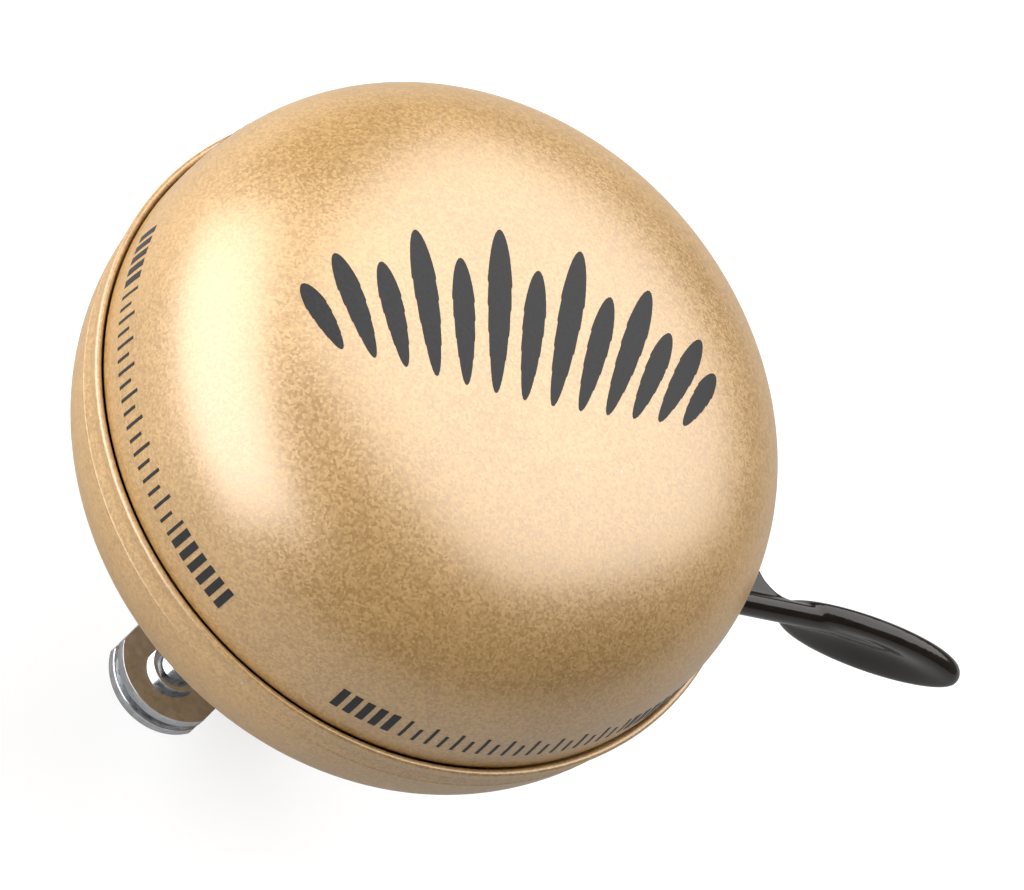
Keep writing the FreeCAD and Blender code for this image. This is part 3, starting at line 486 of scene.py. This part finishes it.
def scuff_group():
    """Thin hairline marks that run in two directions."""
    tree, entry, leave = new_group("scuffs", {"Scale": 55.0, "Amount": 0.5}, ("Mark",))
    marks = []
    for stretch, lean in (((1.0, 26.0, 1.0), 0.5), ((22.0, 1.0, 1.0), -0.7)):
        turn = node_of(tree, "ShaderNodeMapping")
        turn.inputs["Rotation"].default_value = (lean, lean, lean)
        turn.inputs["Scale"].default_value = stretch
        tree.links.new(entry.outputs["Vector"], turn.inputs["Vector"])
        noise = node_of(tree, "ShaderNodeTexNoise", Detail=4.0, Roughness=0.65)
        tree.links.new(turn.outputs["Vector"], noise.inputs["Vector"])
        tree.links.new(entry.outputs["Scale"], noise.inputs["Scale"])
        marks.append(mapped(tree, noise.outputs["Fac"], 0.68, 0.74, 0.0, 1.0))
    both = combined(tree, "MAXIMUM", marks[0], marks[1])
    tree.links.new(combined(tree, "MULTIPLY", both, entry.outputs["Amount"]), leave.inputs["Mark"])
    return tree


def group_in(tree, group, vector, **values):
    """One shared effect placed in a material with its own values."""
    made = tree.nodes.new("ShaderNodeGroup")
    made.node_tree = bpy.data.node_groups[group]
    tree.links.new(vector, made.inputs["Vector"])
    for key, value in values.items():
        made.inputs[key].default_value = value
    return made


def finish(name, light, dark, metallic, roughness, flake=3600.0, tone=(0.25, 0.75), spread=0.06,
           bump=0.05, blotch=45.0, scuffs=0.4, dust=0.04, grime=(0.45, 0.43, 0.40), **plain):
    """One finish: tone from flakes and soft blotches, with hairline marks, dust and bump."""
    material = bpy.data.materials.new(name + "_finish")
    material.use_nodes = True
    tree = material.node_tree
    shader = tree.nodes["Principled BSDF"]
    shader.inputs["Metallic"].default_value = metallic
    for key, value in plain.items():
        shader.inputs[key.replace("_", " ")].default_value = value
    vector = tree.nodes.new("ShaderNodeTexCoord").outputs["Object"]
    grain = group_in(tree, "paint flake", vector, Scale=flake)
    specks = group_in(tree, "dust", vector, Size=dust)
    marks = group_in(tree, "scuffs", vector, Amount=scuffs)
    cloud = node_of(tree, "ShaderNodeTexNoise", Scale=blotch, Detail=3.0, Roughness=0.5)
    tree.links.new(vector, cloud.inputs["Vector"])
    body = combined(tree, "MULTIPLY", grain.outputs["Tone"], 0.6)
    body = combined(tree, "ADD", body, combined(tree, "MULTIPLY", cloud.outputs["Fac"], 0.4))
    amount = mapped(tree, body, tone[0], tone[1], 0.0, 1.0)
    shade = blended(tree, amount, dark, light)
    shade = blended(tree, combined(tree, "MULTIPLY", marks.outputs["Mark"], 0.25), shade, light)
    shade = blended(tree, specks.outputs["Speck"], shade, grime)
    tree.links.new(shade, shader.inputs["Base Color"])
    rough = mapped(tree, body, 0.3, 0.7, roughness - spread, roughness + spread)
    rough = combined(tree, "ADD", rough, combined(tree, "MULTIPLY", marks.outputs["Mark"], 0.12))
    tree.links.new(rough, shader.inputs["Roughness"])
    relief = node_of(tree, "ShaderNodeBump", Strength=bump)
    relief.inputs["Distance"].default_value = 0.05 * MM
    height = combined(tree, "SUBTRACT", grain.outputs["Height"], marks.outputs["Mark"])
    tree.links.new(combined(tree, "ADD", height, specks.outputs["Speck"]), relief.inputs["Height"])
    tree.links.new(relief.outputs["Normal"], shader.inputs["Normal"])
    return material


def make_finishes():
    """Every finish of the bell, by its slot's name."""
    tint = bpy.context.scene.bell_colours
    flake_group()
    dust_group()
    scuff_group()
    finish("gold_paint", tint.gold, tint.bronze, 0.15, 0.36, tone=(0.33, 0.67), spread=0.06,
           bump=0.22, scuffs=0.25, dust=0.05, IOR=2.4)
    finish("black_plastic", tint.plastic, [c * 0.6 for c in tint.plastic], 0.0, 0.16,
           flake=900.0, spread=0.05, bump=0.03, scuffs=0.3, dust=0.06)
    finish("zinc_plate", tint.zinc, [c * 0.72 for c in tint.zinc], 1.0, 0.17, flake=1400.0,
           spread=0.07, bump=0.10, scuffs=0.8, blotch=160.0)
    finish("bare_steel", tint.steel, [c * 0.65 for c in tint.steel], 1.0, 0.34, flake=2200.0,
           spread=0.08, bump=0.12, scuffs=0.8, blotch=120.0)
    finish("spring_steel", tint.steel, [c * 0.5 for c in tint.steel], 1.0, 0.25, flake=2600.0,
           bump=0.08, blotch=200.0)
    finish("brass", tint.brass, [c * 0.6 for c in tint.brass], 1.0, 0.28, flake=1800.0,
           bump=0.08, blotch=140.0)
    finish("nylon", tint.nylon, [c * 0.86 for c in tint.nylon], 0.0, 0.42, flake=1500.0,
           bump=0.10, blotch=90.0, Subsurface_Weight=0.1)
    finish("rubber", [c * 1.7 for c in tint.rubber], tint.rubber, 0.0, 0.68, flake=2400.0,
           bump=0.30, blotch=80.0)
    finish("dome_ink", [c * 1.5 for c in tint.ink], tint.ink, 0.0, 0.42, flake=3000.0,
           bump=0.10, scuffs=0.2, dust=0.03, IOR=1.3)
    floor = finish("studio_floor", tint.floor, [c * 0.985 for c in tint.floor], 0.0, 0.9,
                   flake=60.0, bump=0.0, scuffs=0.0, dust=0.0, blotch=6.0, IOR=1.1)
    glow_for_camera(floor, 0.62)


def glow_for_camera(material, strength):
    """Backlight a surface where it is seen directly, so its reflections stay calm."""
    tree = material.node_tree
    shader = tree.nodes["Principled BSDF"]
    direct = tree.nodes.new("ShaderNodeLightPath").outputs["Is Camera Ray"]
    seen = blended(tree, direct, (0, 0, 0), (1, 1, 1))
    tree.links.new(seen, shader.inputs["Emission Color"])
    shader.inputs["Emission Strength"].default_value = strength


def finish_of(name):
    """A finish that has been made."""
    return bpy.data.materials[name + "_finish"]


# ---------------------------------------------------------------- shells

def dome_rise():
    """Height of the crown above the seam, with room left for the ink."""
    scene = bpy.context.scene
    return DOME_HIGH.z - scene.bell_shells.seam - scene.bell_print.ink


def dome_reach(height):
    """Outer radius of the dome at a height above the seam."""
    sizes = bpy.context.scene.bell_shells
    share = min(max(height, 0) / dome_rise(), 1)
    return sizes.dome_radius * (1 - share ** sizes.dome_crown) ** (1 / sizes.dome_side)


def dome_outline(count=54):
    """Outline of the dome from its rim to the crown."""
    sizes = bpy.context.scene.bell_shells
    rise = dome_rise()
    points = [Vector((sizes.dome_radius, 0, DOME_LOW.z))]
    for step in range(count):
        turn = math.pi / 2 * step / count
        reach = sizes.dome_radius * math.cos(turn) ** (2 / sizes.dome_side)
        height = rise * math.sin(turn) ** (2 / sizes.dome_crown)
        points.append(Vector((reach, 0, sizes.seam + height)))
    points.append(Vector((0, 0, sizes.seam + rise)))
    return points


def pan_reach(drop):
    """Outer radius of the pan's body at a depth under the seam."""
    sizes = bpy.context.scene.bell_shells
    share = (drop / sizes.pan_depth) ** sizes.pan_floor
    return sizes.pan_radius * (1 - share) ** (1 / sizes.pan_side)


def eased(start, end, share):
    """A soft step between two values."""
    return start + (end - start) * (1 - math.cos(math.pi * share)) / 2


def pan_outline():
    """Outline of the pan from the middle of its floor to the lip."""
    sizes = bpy.context.scene.bell_shells
    floor_drop = sizes.seam - PAN_LOW.z
    body_top, valley, lip_foot = 4.8 * MM, 2.5 * MM, 1.5 * MM
    corner = pan_reach(floor_drop)
    outline = [(corner * share / 8, floor_drop) for share in range(1, 9)]
    drops = [floor_drop - (floor_drop - body_top) * step / 34 for step in range(1, 35)]
    drops += [sizes.seam - sizes.slot_low, sizes.seam - sizes.slot_high]
    outline += [(pan_reach(drop), drop) for drop in sorted(set(drops), reverse=True)]
    for step in range(1, 9):
        outline.append((eased(pan_reach(body_top), sizes.valley_radius, step / 8),
                        body_top + (valley - body_top) * step / 8))
    for step in range(1, 9):
        outline.append((eased(sizes.valley_radius, sizes.lip_radius - sizes.roll / 4, step / 8),
                        valley + (lip_foot - valley) * step / 8))
    outline.append((sizes.lip_radius - sizes.roll / 4, sizes.seam - PAN_HIGH.z + sizes.roll))
    turn = math.radians(1)
    return [Vector((reach * math.cos(turn), reach * math.sin(turn), sizes.seam - drop))
            for reach, drop in outline]


def round_rim(obj, height, width):
    """Round the free edge of a shell at one height."""
    edit(obj)
    choose_edges(obj, lambda a, b: abs(a.z - height) < 5e-6 and abs(b.z - height) < 5e-6)
    bpy.ops.mesh.bevel(offset=width, segments=3, profile=0.5)
    bpy.ops.object.mode_set(mode="OBJECT")


def cut_slot(obj):
    """Open the lever slot in the pan's side."""
    sizes = bpy.context.scene.bell_shells

    def in_slot(centre, normal):
        turn = math.atan2(centre.y, centre.x)
        return sizes.slot_start < turn < sizes.slot_end and sizes.slot_low < centre.z < sizes.slot_high

    choose_faces(obj, in_slot)
    bpy.ops.mesh.delete(type="FACE")


class BELL_OT_finishes(bpy.types.Operator):
    """Make every finish of the bell"""
    bl_idname = "bell.finishes"
    bl_label = "Make finishes"

    def execute(self, context):
        make_finishes()
        return {"FINISHED"}


class BELL_OT_dome(bpy.types.Operator):
    """Spin the dome"""
    bl_idname = "bell.dome"
    bl_label = "Build dome"

    def execute(self, context):
        sizes = context.scene.bell_shells
        spun(dome_outline(), sizes.steps)
        obj = finished("dome_shell")
        apply_modifier(obj, "SOLIDIFY", thickness=sizes.dome_wall, offset=-1, use_even_offset=True)
        round_rim(obj, DOME_LOW.z, 0.2 * MM)
        coat(smooth(obj), finish_of("gold_paint"))
        settle(obj, "root", ["dome"])
        return {"FINISHED"}


class BELL_OT_pan(bpy.types.Operator):
    """Spin the pan and open its lever slot"""
    bl_idname = "bell.pan"
    bl_label = "Build pan"

    def execute(self, context):
        sizes = context.scene.bell_shells
        obj = spun(pan_outline(), sizes.steps)
        cut_slot(obj)
        obj = finished("pan_shell")
        apply_modifier(obj, "SOLIDIFY", thickness=sizes.pan_wall, offset=-1, use_even_offset=True)
        leave_all()
        bpy.ops.mesh.primitive_torus_add(major_radius=sizes.lip_radius - sizes.roll,
                                         minor_radius=sizes.roll, major_segments=sizes.steps,
                                         minor_segments=24, location=(0, 0, PAN_HIGH.z - sizes.roll))
        bpy.ops.object.mode_set(mode="EDIT")
        edge = finished("pan_rolled_edge")
        for piece in (obj, edge):
            coat(smooth(piece), finish_of("gold_paint"))
            settle(piece, "root", ["pan"])
        return {"FINISHED"}


# ---------------------------------------------------------------- thumb lever

def beside_arm(reach, aside, height):
    """A place given by its distance along and beside the arm's line."""
    sizes = bpy.context.scene.bell_lever
    forward = Vector((math.cos(sizes.arm_angle), math.sin(sizes.arm_angle), 0))
    left = Vector((-forward.y, forward.x, 0))
    pivot = Vector((sizes.pivot_x, sizes.pivot_y, 0))
    return pivot + forward * reach + left * aside + UP * height


def pad_placing():
    """Placement of the pad: x along it, y up, z out of its thumb face."""
    sizes = bpy.context.scene.bell_lever
    forward = Vector((math.cos(sizes.pad_angle), math.sin(sizes.pad_angle), 0))
    face = forward.cross(UP)
    turned = Matrix((forward, UP, face)).transposed().to_4x4()
    return Matrix.Translation(Vector((53.05, 32.36, 31.6)) * MM) @ turned


def pad_blank():
    """Upright oval pad with a rounded rim and a dished thumb face."""
    sizes = bpy.context.scene.bell_lever
    half = sizes.pad_wall / 2
    leave_all()
    bpy.ops.mesh.primitive_circle_add(vertices=96, radius=1, fill_type="NGON", location=(0, 0, 0))
    bpy.context.object.scale = (sizes.pad_long, sizes.pad_tall, 1)
    bpy.context.object.location.z = -half
    bpy.ops.object.transform_apply(location=True, rotation=True, scale=True)
    obj = bpy.context.object
    edit(obj)
    bpy.ops.mesh.extrude_region_move(TRANSFORM_OT_translate={"value": (0, 0, sizes.pad_wall)})
    mend()
    choose_edges(obj, lambda a, b: abs(a.z - b.z) < TINY)
    bpy.ops.mesh.bevel(offset=sizes.pad_round, segments=6, profile=0.5)
    choose_faces(obj, lambda centre, normal: normal.z > 0.999 and centre.z > half - TINY * 9)
    dish_face(sizes.pad_dish)
    return finished("pad_blank", pad_placing())


def dish_face(depth, rings=9):
    """Sink the selected face in rings that shrink towards the middle."""
    for ring in range(rings):
        here, there = ring / rings, (ring + 1) / rings
        sink = eased(0, depth, there) - eased(0, depth, here)
        bpy.ops.mesh.extrude_region_move(TRANSFORM_OT_translate={"value": (0, 0, -sink)})
        shrink = (1 - there * 0.92) / (1 - here * 0.92)
        bpy.ops.transform.resize(value=(shrink, shrink, 1), center_override=(0, 0, 0))


def arm_blank():
    """Rounded rib that runs from inside the pan to the pad."""
    sizes = bpy.context.scene.bell_lever
    height = sizes.arm_height
    start = beside_arm(sizes.split - 2 * MM, 0, height)
    bend = beside_arm(26 * MM, 0, height)
    end = pad_placing() @ Vector((-5.4 * MM, 0, -0.1 * MM))
    end.z = height
    leave_all()
    bpy.ops.mesh.primitive_circle_add(vertices=32, radius=1, fill_type="NGON")
    obj = bpy.context.object
    forward = beside_arm(1, 0, 0) - beside_arm(0, 0, 0)
    turned = Matrix((UP, forward.cross(UP), forward)).transposed().to_4x4()
    shaped = Matrix.Diagonal((sizes.arm_tall, sizes.arm_wide, 1, 1))
    obj.matrix_world = Matrix.Translation(start) @ turned @ shaped
    bpy.ops.object.transform_apply(location=True, rotation=True, scale=True)
    edit(obj)
    for here, there in zip((start, bend), (bend, end)):
        bpy.ops.mesh.extrude_region_move(TRANSFORM_OT_translate={"value": there - here})
    along = pad_placing() @ Vector((1, 0, 0)) - pad_placing() @ Vector((0, 0, 0))
    for step, drop, slim in ((3, 0.05, 0.9), (3, 0.1, 0.82), (3, 0.25, 0.7), (2.5, 0.4, 0.5)):
        there = end + along * step * MM - UP * drop * MM
        bpy.ops.mesh.extrude_region_move(TRANSFORM_OT_translate={"value": there - end})
        bpy.ops.transform.resize(value=(slim, slim, slim), center_override=there)
        end = there
    mend()
    return finished("arm_blank")


def web_blank():
    """Flat web beside the arm, swept in to the arm's width outside the pan."""
    sizes = bpy.context.scene.bell_lever
    end, slim, sweep, wide = 20 * MM, 1.2 * MM, 5 * MM, 7.1 * MM
    low = sizes.web_floor
    inner = sizes.split - 2 * MM
    outline = [(inner, 0), (inner, 5.8 * MM), (end - 1.2 * MM, wide), (end - 0.25 * MM, wide - 0.25 * MM)]
    for step in range(13):
        turn = math.pi / 2 * step / 12
        outline.append((end + sweep - sweep * math.cos(turn), slim + sweep - sweep * math.sin(turn)))
    outline.append((end + sweep, 0))
    obj = traced([beside_arm(reach, aside, low) for reach, aside in outline])
    bpy.ops.mesh.edge_face_add()
    bpy.ops.mesh.extrude_region_move(TRANSFORM_OT_translate={"value": (0, 0, sizes.web_wall)})
    mend()
    return finished("web_blank")


class BELL_OT_lever(bpy.types.Operator):
    """Mould the thumb lever: arm, web and dished pad in one, and its hub"""
    bl_idname = "bell.lever"
    bl_label = "Build thumb lever"

    def execute(self, context):
        sizes = context.scene.bell_lever
        hub = node_copy("thumb_lever", "thumb_lever_hub")
        forward = beside_arm(1, 0, 0) - beside_arm(0, 0, 0)
        edit(hub)
        bpy.ops.mesh.bisect(plane_co=beside_arm(sizes.split, 0, 0), plane_no=forward,
                            use_fill=True, clear_outer=True)
        bpy.ops.object.mode_set(mode="OBJECT")
        arm = joined([pad_blank(), arm_blank(), web_blank()], "thumb_lever_arm")
        apply_modifier(arm, "REMESH", mode="VOXEL", voxel_size=sizes.grain)
        apply_modifier(arm, "SMOOTH", factor=0.5, iterations=16)
        for piece, corner in ((hub, 35), (arm, 80)):
            coat(smooth(piece, corner), finish_of("black_plastic"))
            settle(piece, "lever", ["thumb_lever"])
        return {"FINISHED"}


# ---------------------------------------------------------------- clamp

def screw_head():
    """Pan head with a cross recess, crown downwards."""
    sizes = bpy.context.scene.bell_fixing
    low = SCREW_LOW.z
    rise = sizes.head_top - low
    outline = [(0, low), (1.5 * MM, low), (2.6 * MM, low + rise * 0.06),
               (3.35 * MM, low + rise * 0.26), (sizes.head_radius, low + rise * 0.55),
               (sizes.head_radius, sizes.head_top - 0.12 * MM),
               (sizes.head_radius - 0.12 * MM, sizes.head_top), (0, sizes.head_top)]
    spun([Vector((reach, 0, height)) for reach, height in outline], 48)
    head = finished("screw_head")
    for wide, long in ((sizes.recess_wide, sizes.recess_long), (sizes.recess_long, sizes.recess_wide)):
        leave_all()
        bpy.ops.mesh.primitive_cube_add(size=1, location=(0, 0, low))
        cutter = bpy.context.object
        cutter.scale = (wide, long, sizes.recess_deep * 2)
        bpy.ops.object.transform_apply(location=True, rotation=True, scale=True)
        apply_modifier(head, "BOOLEAN", operation="DIFFERENCE", object=cutter, solver="EXACT")
        bpy.data.objects.remove(cutter)
    return head


def screw_shank():
    """Threaded shank, cut square at both ends, with a lead-in at the tip."""
    sizes = bpy.context.scene.bell_fixing
    start = sizes.head_top - sizes.thread_pitch
    outline = [(sizes.thread_root, 0), (sizes.thread_radius, 0.45), (sizes.thread_radius, 0.55),
               (sizes.thread_root, 1)]
    obj = traced([Vector((reach, 0, start + share * sizes.thread_pitch)) for reach, share in outline])
    bpy.ops.object.mode_set(mode="OBJECT")
    turns = int((SCREW_HIGH.z - start) / sizes.thread_pitch) + 2
    apply_modifier(obj, "SCREW", axis="Z", angle=FULL_TURN, screw_offset=sizes.thread_pitch,
                   iterations=turns, steps=32, render_steps=32, use_merge_vertices=True)
    edit(obj)
    mend()
    for height, upward in ((sizes.head_top - 0.1 * MM, -1), (SCREW_HIGH.z, 1)):
        bpy.ops.mesh.select_all(action="SELECT")
        bpy.ops.mesh.bisect(plane_co=(0, 0, height), plane_no=(0, 0, upward), use_fill=True,
                            clear_outer=True)
    mend()
    choose_points(obj, lambda place: place.z > SCREW_HIGH.z - 0.3 * MM)
    bpy.ops.transform.resize(value=(0.88, 0.88, 1), center_override=(0, 0, SCREW_HIGH.z))
    return finished("screw_shank")


class BELL_OT_screws(bpy.types.Operator):
    """Turn the two clamp screws with their threads and cross recesses"""
    bl_idname = "bell.screws"
    bl_label = "Build clamp screws"

    def execute(self, context):
        sizes = context.scene.bell_fixing
        blank = joined([screw_head(), screw_shank()], "screw_blank")
        places = {"clamp_screw_near": -sizes.screw_reach, "clamp_screw_far": sizes.screw_reach}
        for name, aside in places.items():
            piece = duplicate(blank, name, Matrix.Translation((0, aside, 0)))
            piece.data.validate()
            coat(smooth(piece, 40), finish_of("zinc_plate"))
            settle(piece, "root", ["clamp_screws"])
        bpy.data.objects.remove(blank)
        return {"FINISHED"}


CLAMP_PIECES = {
    "upper_clamp": ("upper_strap", "zinc_plate"),
    "lower_clamp": ("lower_strap", "zinc_plate"),
    "clamp_washers": ("strap_washers", "zinc_plate"),
    "bar_liner": ("grip_liner", "rubber"),
    "pan_spacer": ("pan_collar", "bare_steel"),
}


class BELL_OT_clamp(bpy.types.Operator):
    """Round the edges of the clamp halves, washers, liner and collar"""
    bl_idname = "bell.clamp"
    bl_label = "Build clamp"

    def execute(self, context):
        edge = context.scene.bell_fixing.edge
        for node, (name, slot) in CLAMP_PIECES.items():
            piece = node_copy(node, name)
            apply_modifier(piece, "BEVEL", width=edge, segments=2, limit_method="ANGLE",
                           angle_limit=math.radians(45))
            coat(smooth(piece, 40), finish_of(slot))
            settle(piece, "root", [node])
        return {"FINISHED"}


class BELL_OT_inner_parts(bpy.types.Operator):
    """Finish the parts inside the shells, which keep their CAD shape"""
    bl_idname = "bell.inner_parts"
    bl_label = "Finish inner parts"

    def execute(self, context):
        for entry in frame["record"]["materials"]:
            for name in entry.get("nodes", []):
                coat_slots(frame["nodes"][name], finish_of(entry["slot"]))
        return {"FINISHED"}


def coat_slots(obj, material):
    """Change the finish of a CAD node without touching its mesh."""
    for slot in obj.material_slots:
        slot.material = material


# ---------------------------------------------------------------- print

def wave_bar(foot, turn, tall, wide):
    """One tapered bar laid on the dome: foot, direction, length and width."""
    leave_all()
    bpy.ops.mesh.primitive_circle_add(vertices=32, radius=1, fill_type="TRIFAN")
    obj = bpy.context.object
    edit(obj)
    bpy.ops.mesh.subdivide(number_cuts=5)
    for share in (-0.6, -0.3, 0.0, 0.3):
        choose_points(obj, lambda place: place.x > share)
        bpy.ops.transform.resize(value=(1, 1.09, 1), center_override=(0, 0, 0))
    bpy.ops.object.mode_set(mode="OBJECT")
    middle = foot + Vector((math.cos(turn), math.sin(turn), 0)) * tall / 2
    middle.z = DOME_HIGH.z + 4 * MM
    shaped = Matrix.Diagonal((tall / 2, wide / 2, 1, 1))
    obj.matrix_world = Matrix.Translation(middle) @ Matrix.Rotation(turn, 4, "Z") @ shaped
    bpy.ops.object.transform_apply(location=True, rotation=True, scale=True)
    return obj


def ink_down(obj, name):
    """Lay flat shapes on the dome and give the ink its thickness."""
    ink = bpy.context.scene.bell_print.ink
    apply_modifier(obj, "SHRINKWRAP", target=bpy.data.objects["dome_shell"], wrap_method="PROJECT",
                   use_project_z=True, use_negative_direction=True, use_positive_direction=False)
    apply_modifier(obj, "SOLIDIFY", thickness=ink, offset=1)
    coat(smooth(obj), finish_of("dome_ink"))
    obj.name = name
    settle(obj, "root")


class BELL_OT_wave(bpy.types.Operator):
    """Print the fan of tapered bars across the dome"""
    bl_idname = "bell.wave"
    bl_label = "Print wave"

    def execute(self, context):
        count = context.scene.bell_print.bars
        start, end = Vector((-13.5, -19.0, 0)) * MM, Vector((17.6, 6.6, 0)) * MM
        across = (end - start).normalized()
        sag = Vector((across.y, -across.x, 0)) * 2.4 * MM
        bars = []
        for index in range(count):
            share = index / (count - 1)
            foot = start.lerp(end, share) + sag * math.sin(math.pi * share)
            turn = math.radians(158 - 60 * share ** 0.75)
            swell = math.sin(math.pi * (0.1 + 0.78 * share))
            ripple = 1 if index % 2 else 0.72
            bars.append(wave_bar(foot, turn, (5 + 15.5 * swell * ripple) * MM,
                                 (1.5 + 0.7 * swell * ripple) * MM))
        ink_down(joined(bars, "dome_wave"), "dome_wave")
        return {"FINISHED"}


class BELL_OT_ticks(bpy.types.Operator):
    """Print the four arcs of ticks near the dome's rim"""
    bl_idname = "bell.ticks"
    bl_label = "Print rim ticks"

    def execute(self, context):
        sizes = context.scene.bell_print
        seam = context.scene.bell_shells.seam
        ticks = []
        for index in range(sizes.ticks):
            share = index / (sizes.ticks - 1)
            bold = share < 0.14 or share > 0.80
            turn = sizes.arc_start + sizes.arc_sweep * share
            high = sizes.tick_high if bold or index % 2 else sizes.tick_high - 0.9 * MM
            column = []
            for step in range(6):
                height = sizes.tick_low + (high - sizes.tick_low) * step / 5
                reach = dome_reach(height - seam)
                column.append(Vector((reach * math.cos(turn), reach * math.sin(turn), height)))
            spun(column, 3, math.radians(1.35 if bold else 0.55))
            ticks.append(finished("tick"))
        arc = joined(ticks, "rim_ticks_1")
        apply_modifier(arc, "SOLIDIFY", thickness=sizes.ink, offset=1)
        coat(smooth(arc), finish_of("dome_ink"))
        for number in range(2, 5):
            copy = duplicate(arc, f"rim_ticks_{number}", Matrix.Rotation(math.pi / 2 * (number - 1), 4, "Z"))
            settle(copy, "root")
        settle(arc, "root")
        return {"FINISHED"}


# ---------------------------------------------------------------- stage

def camera_turn():
    """The camera's axes in the bell's frame, as a rotation."""
    lean, swing, roll = (math.radians(38.99), math.radians(40.56), math.radians(3.75))
    axis = Vector((math.sin(lean) * math.cos(swing), math.sin(lean) * math.sin(swing), math.cos(lean)))
    side = axis.cross(UP).normalized()
    rise = axis.cross(side)
    first = side * math.cos(roll) + rise * math.sin(roll)
    second = side * -math.sin(roll) + rise * math.cos(roll)
    return Matrix((first, second, axis))


def soft_light(name, middle, direction, reach, size, brightness):
    """A large soft light that faces the bell from a swing and a rise given in degrees."""
    data = bpy.data.lights.new(name, "AREA")
    data.shape = "RECTANGLE"
    data.size, data.size_y = size
    data.energy = brightness * math.pi * size[0] * size[1]
    swing, rise = (math.radians(angle) for angle in direction)
    away = Vector((math.cos(rise) * math.cos(swing), math.cos(rise) * math.sin(swing), math.sin(rise)))
    lamp = bpy.data.objects.new(name, data)
    lamp.location = middle + away * reach
    lamp.rotation_euler = away.to_track_quat("Z", "Y").to_euler()
    bpy.context.scene.collection.objects.link(lamp)


class BELL_OT_stage(bpy.types.Operator):
    """Set the floor, the soft lights and the camera"""
    bl_idname = "bell.stage"
    bl_label = "Build stage"

    def execute(self, context):
        low = CAD_BOX[0].z
        leave_all()
        bpy.ops.mesh.primitive_plane_add(size=6, location=(0, 0, low))
        bpy.ops.object.transform_apply(location=True, rotation=True, scale=True)
        floor = bpy.context.object
        floor.name = "studio_floor"
        coat(floor, finish_of("studio_floor"))
        world = bpy.data.worlds.new("studio")
        world.use_nodes = True
        world.node_tree.nodes["Background"].inputs["Color"].default_value = (1, 1, 1, 1)
        world.node_tree.nodes["Background"].inputs["Strength"].default_value = 0.12
        context.scene.world = world
        middle = Vector((0, 0, 0.03))
        soft_light("back_panel", middle, (80, 59), 0.70, (1.10, 1.04), 2.7)
        soft_light("left_panel", middle, (210, 16), 0.60, (1.15, 0.76), 3.9)
        turned = camera_turn()
        context.scene.view_settings.view_transform = "Standard"
        data = bpy.data.cameras.new("camera")
        data.lens = 192.6
        data.sensor_width = 36
        data.clip_end = 20
        camera = bpy.data.objects.new("camera", data)
        axes = [Vector(row) for row in turned.transposed()]
        place = UP * 40.2 + axes[0] * 9.055 - axes[1] * 1.2 + axes[2] * 600
        camera.matrix_world = Matrix.Translation(place * MM) @ Matrix(axes).transposed().to_4x4()
        context.scene.collection.objects.link(camera)
        context.scene.camera = camera
        return {"FINISHED"}


# ---------------------------------------------------------------- sidebar and start

OPERATORS = (BELL_OT_finishes, BELL_OT_dome, BELL_OT_pan, BELL_OT_lever, BELL_OT_screws,
             BELL_OT_clamp, BELL_OT_inner_parts, BELL_OT_wave, BELL_OT_ticks, BELL_OT_stage)


class BELL_PT_sidebar(bpy.types.Panel):
    """Lists the bell's pieces, sizes and colours"""
    bl_label = "Bicycle bell"
    bl_idname = "BELL_PT_sidebar"
    bl_space_type = "VIEW_3D"
    bl_region_type = "UI"
    bl_category = "Bell"

    def draw(self, context):
        for operator in OPERATORS:
            self.layout.operator(operator.bl_idname)
        for key, group in GROUPS.items():
            box = self.layout.box()
            box.label(text=group.__doc__)
            for name in group.__annotations__:
                box.prop(getattr(context.scene, key), name)


def register():
    for group in GROUPS.values():
        bpy.utils.register_class(group)
    for key, group in GROUPS.items():
        setattr(bpy.types.Scene, key, PointerProperty(type=group))
    for made in (*OPERATORS, BELL_PT_sidebar):
        bpy.utils.register_class(made)


def unregister():
    for made in reversed((*OPERATORS, BELL_PT_sidebar)):
        bpy.utils.unregister_class(made)
    for key in GROUPS:
        delattr(bpy.types.Scene, key)
    for group in GROUPS.values():
        bpy.utils.unregister_class(group)


def main():
    register()
    bpy.ops.bell.finishes()
    bpy.ops.bell.dome()
    bpy.ops.bell.pan()
    bpy.ops.bell.lever()
    bpy.ops.bell.screws()
    bpy.ops.bell.clamp()
    bpy.ops.bell.inner_parts()
    bpy.ops.bell.wave()
    bpy.ops.bell.ticks()
    bpy.ops.bell.stage()


if __name__ == "__main__":
    main()
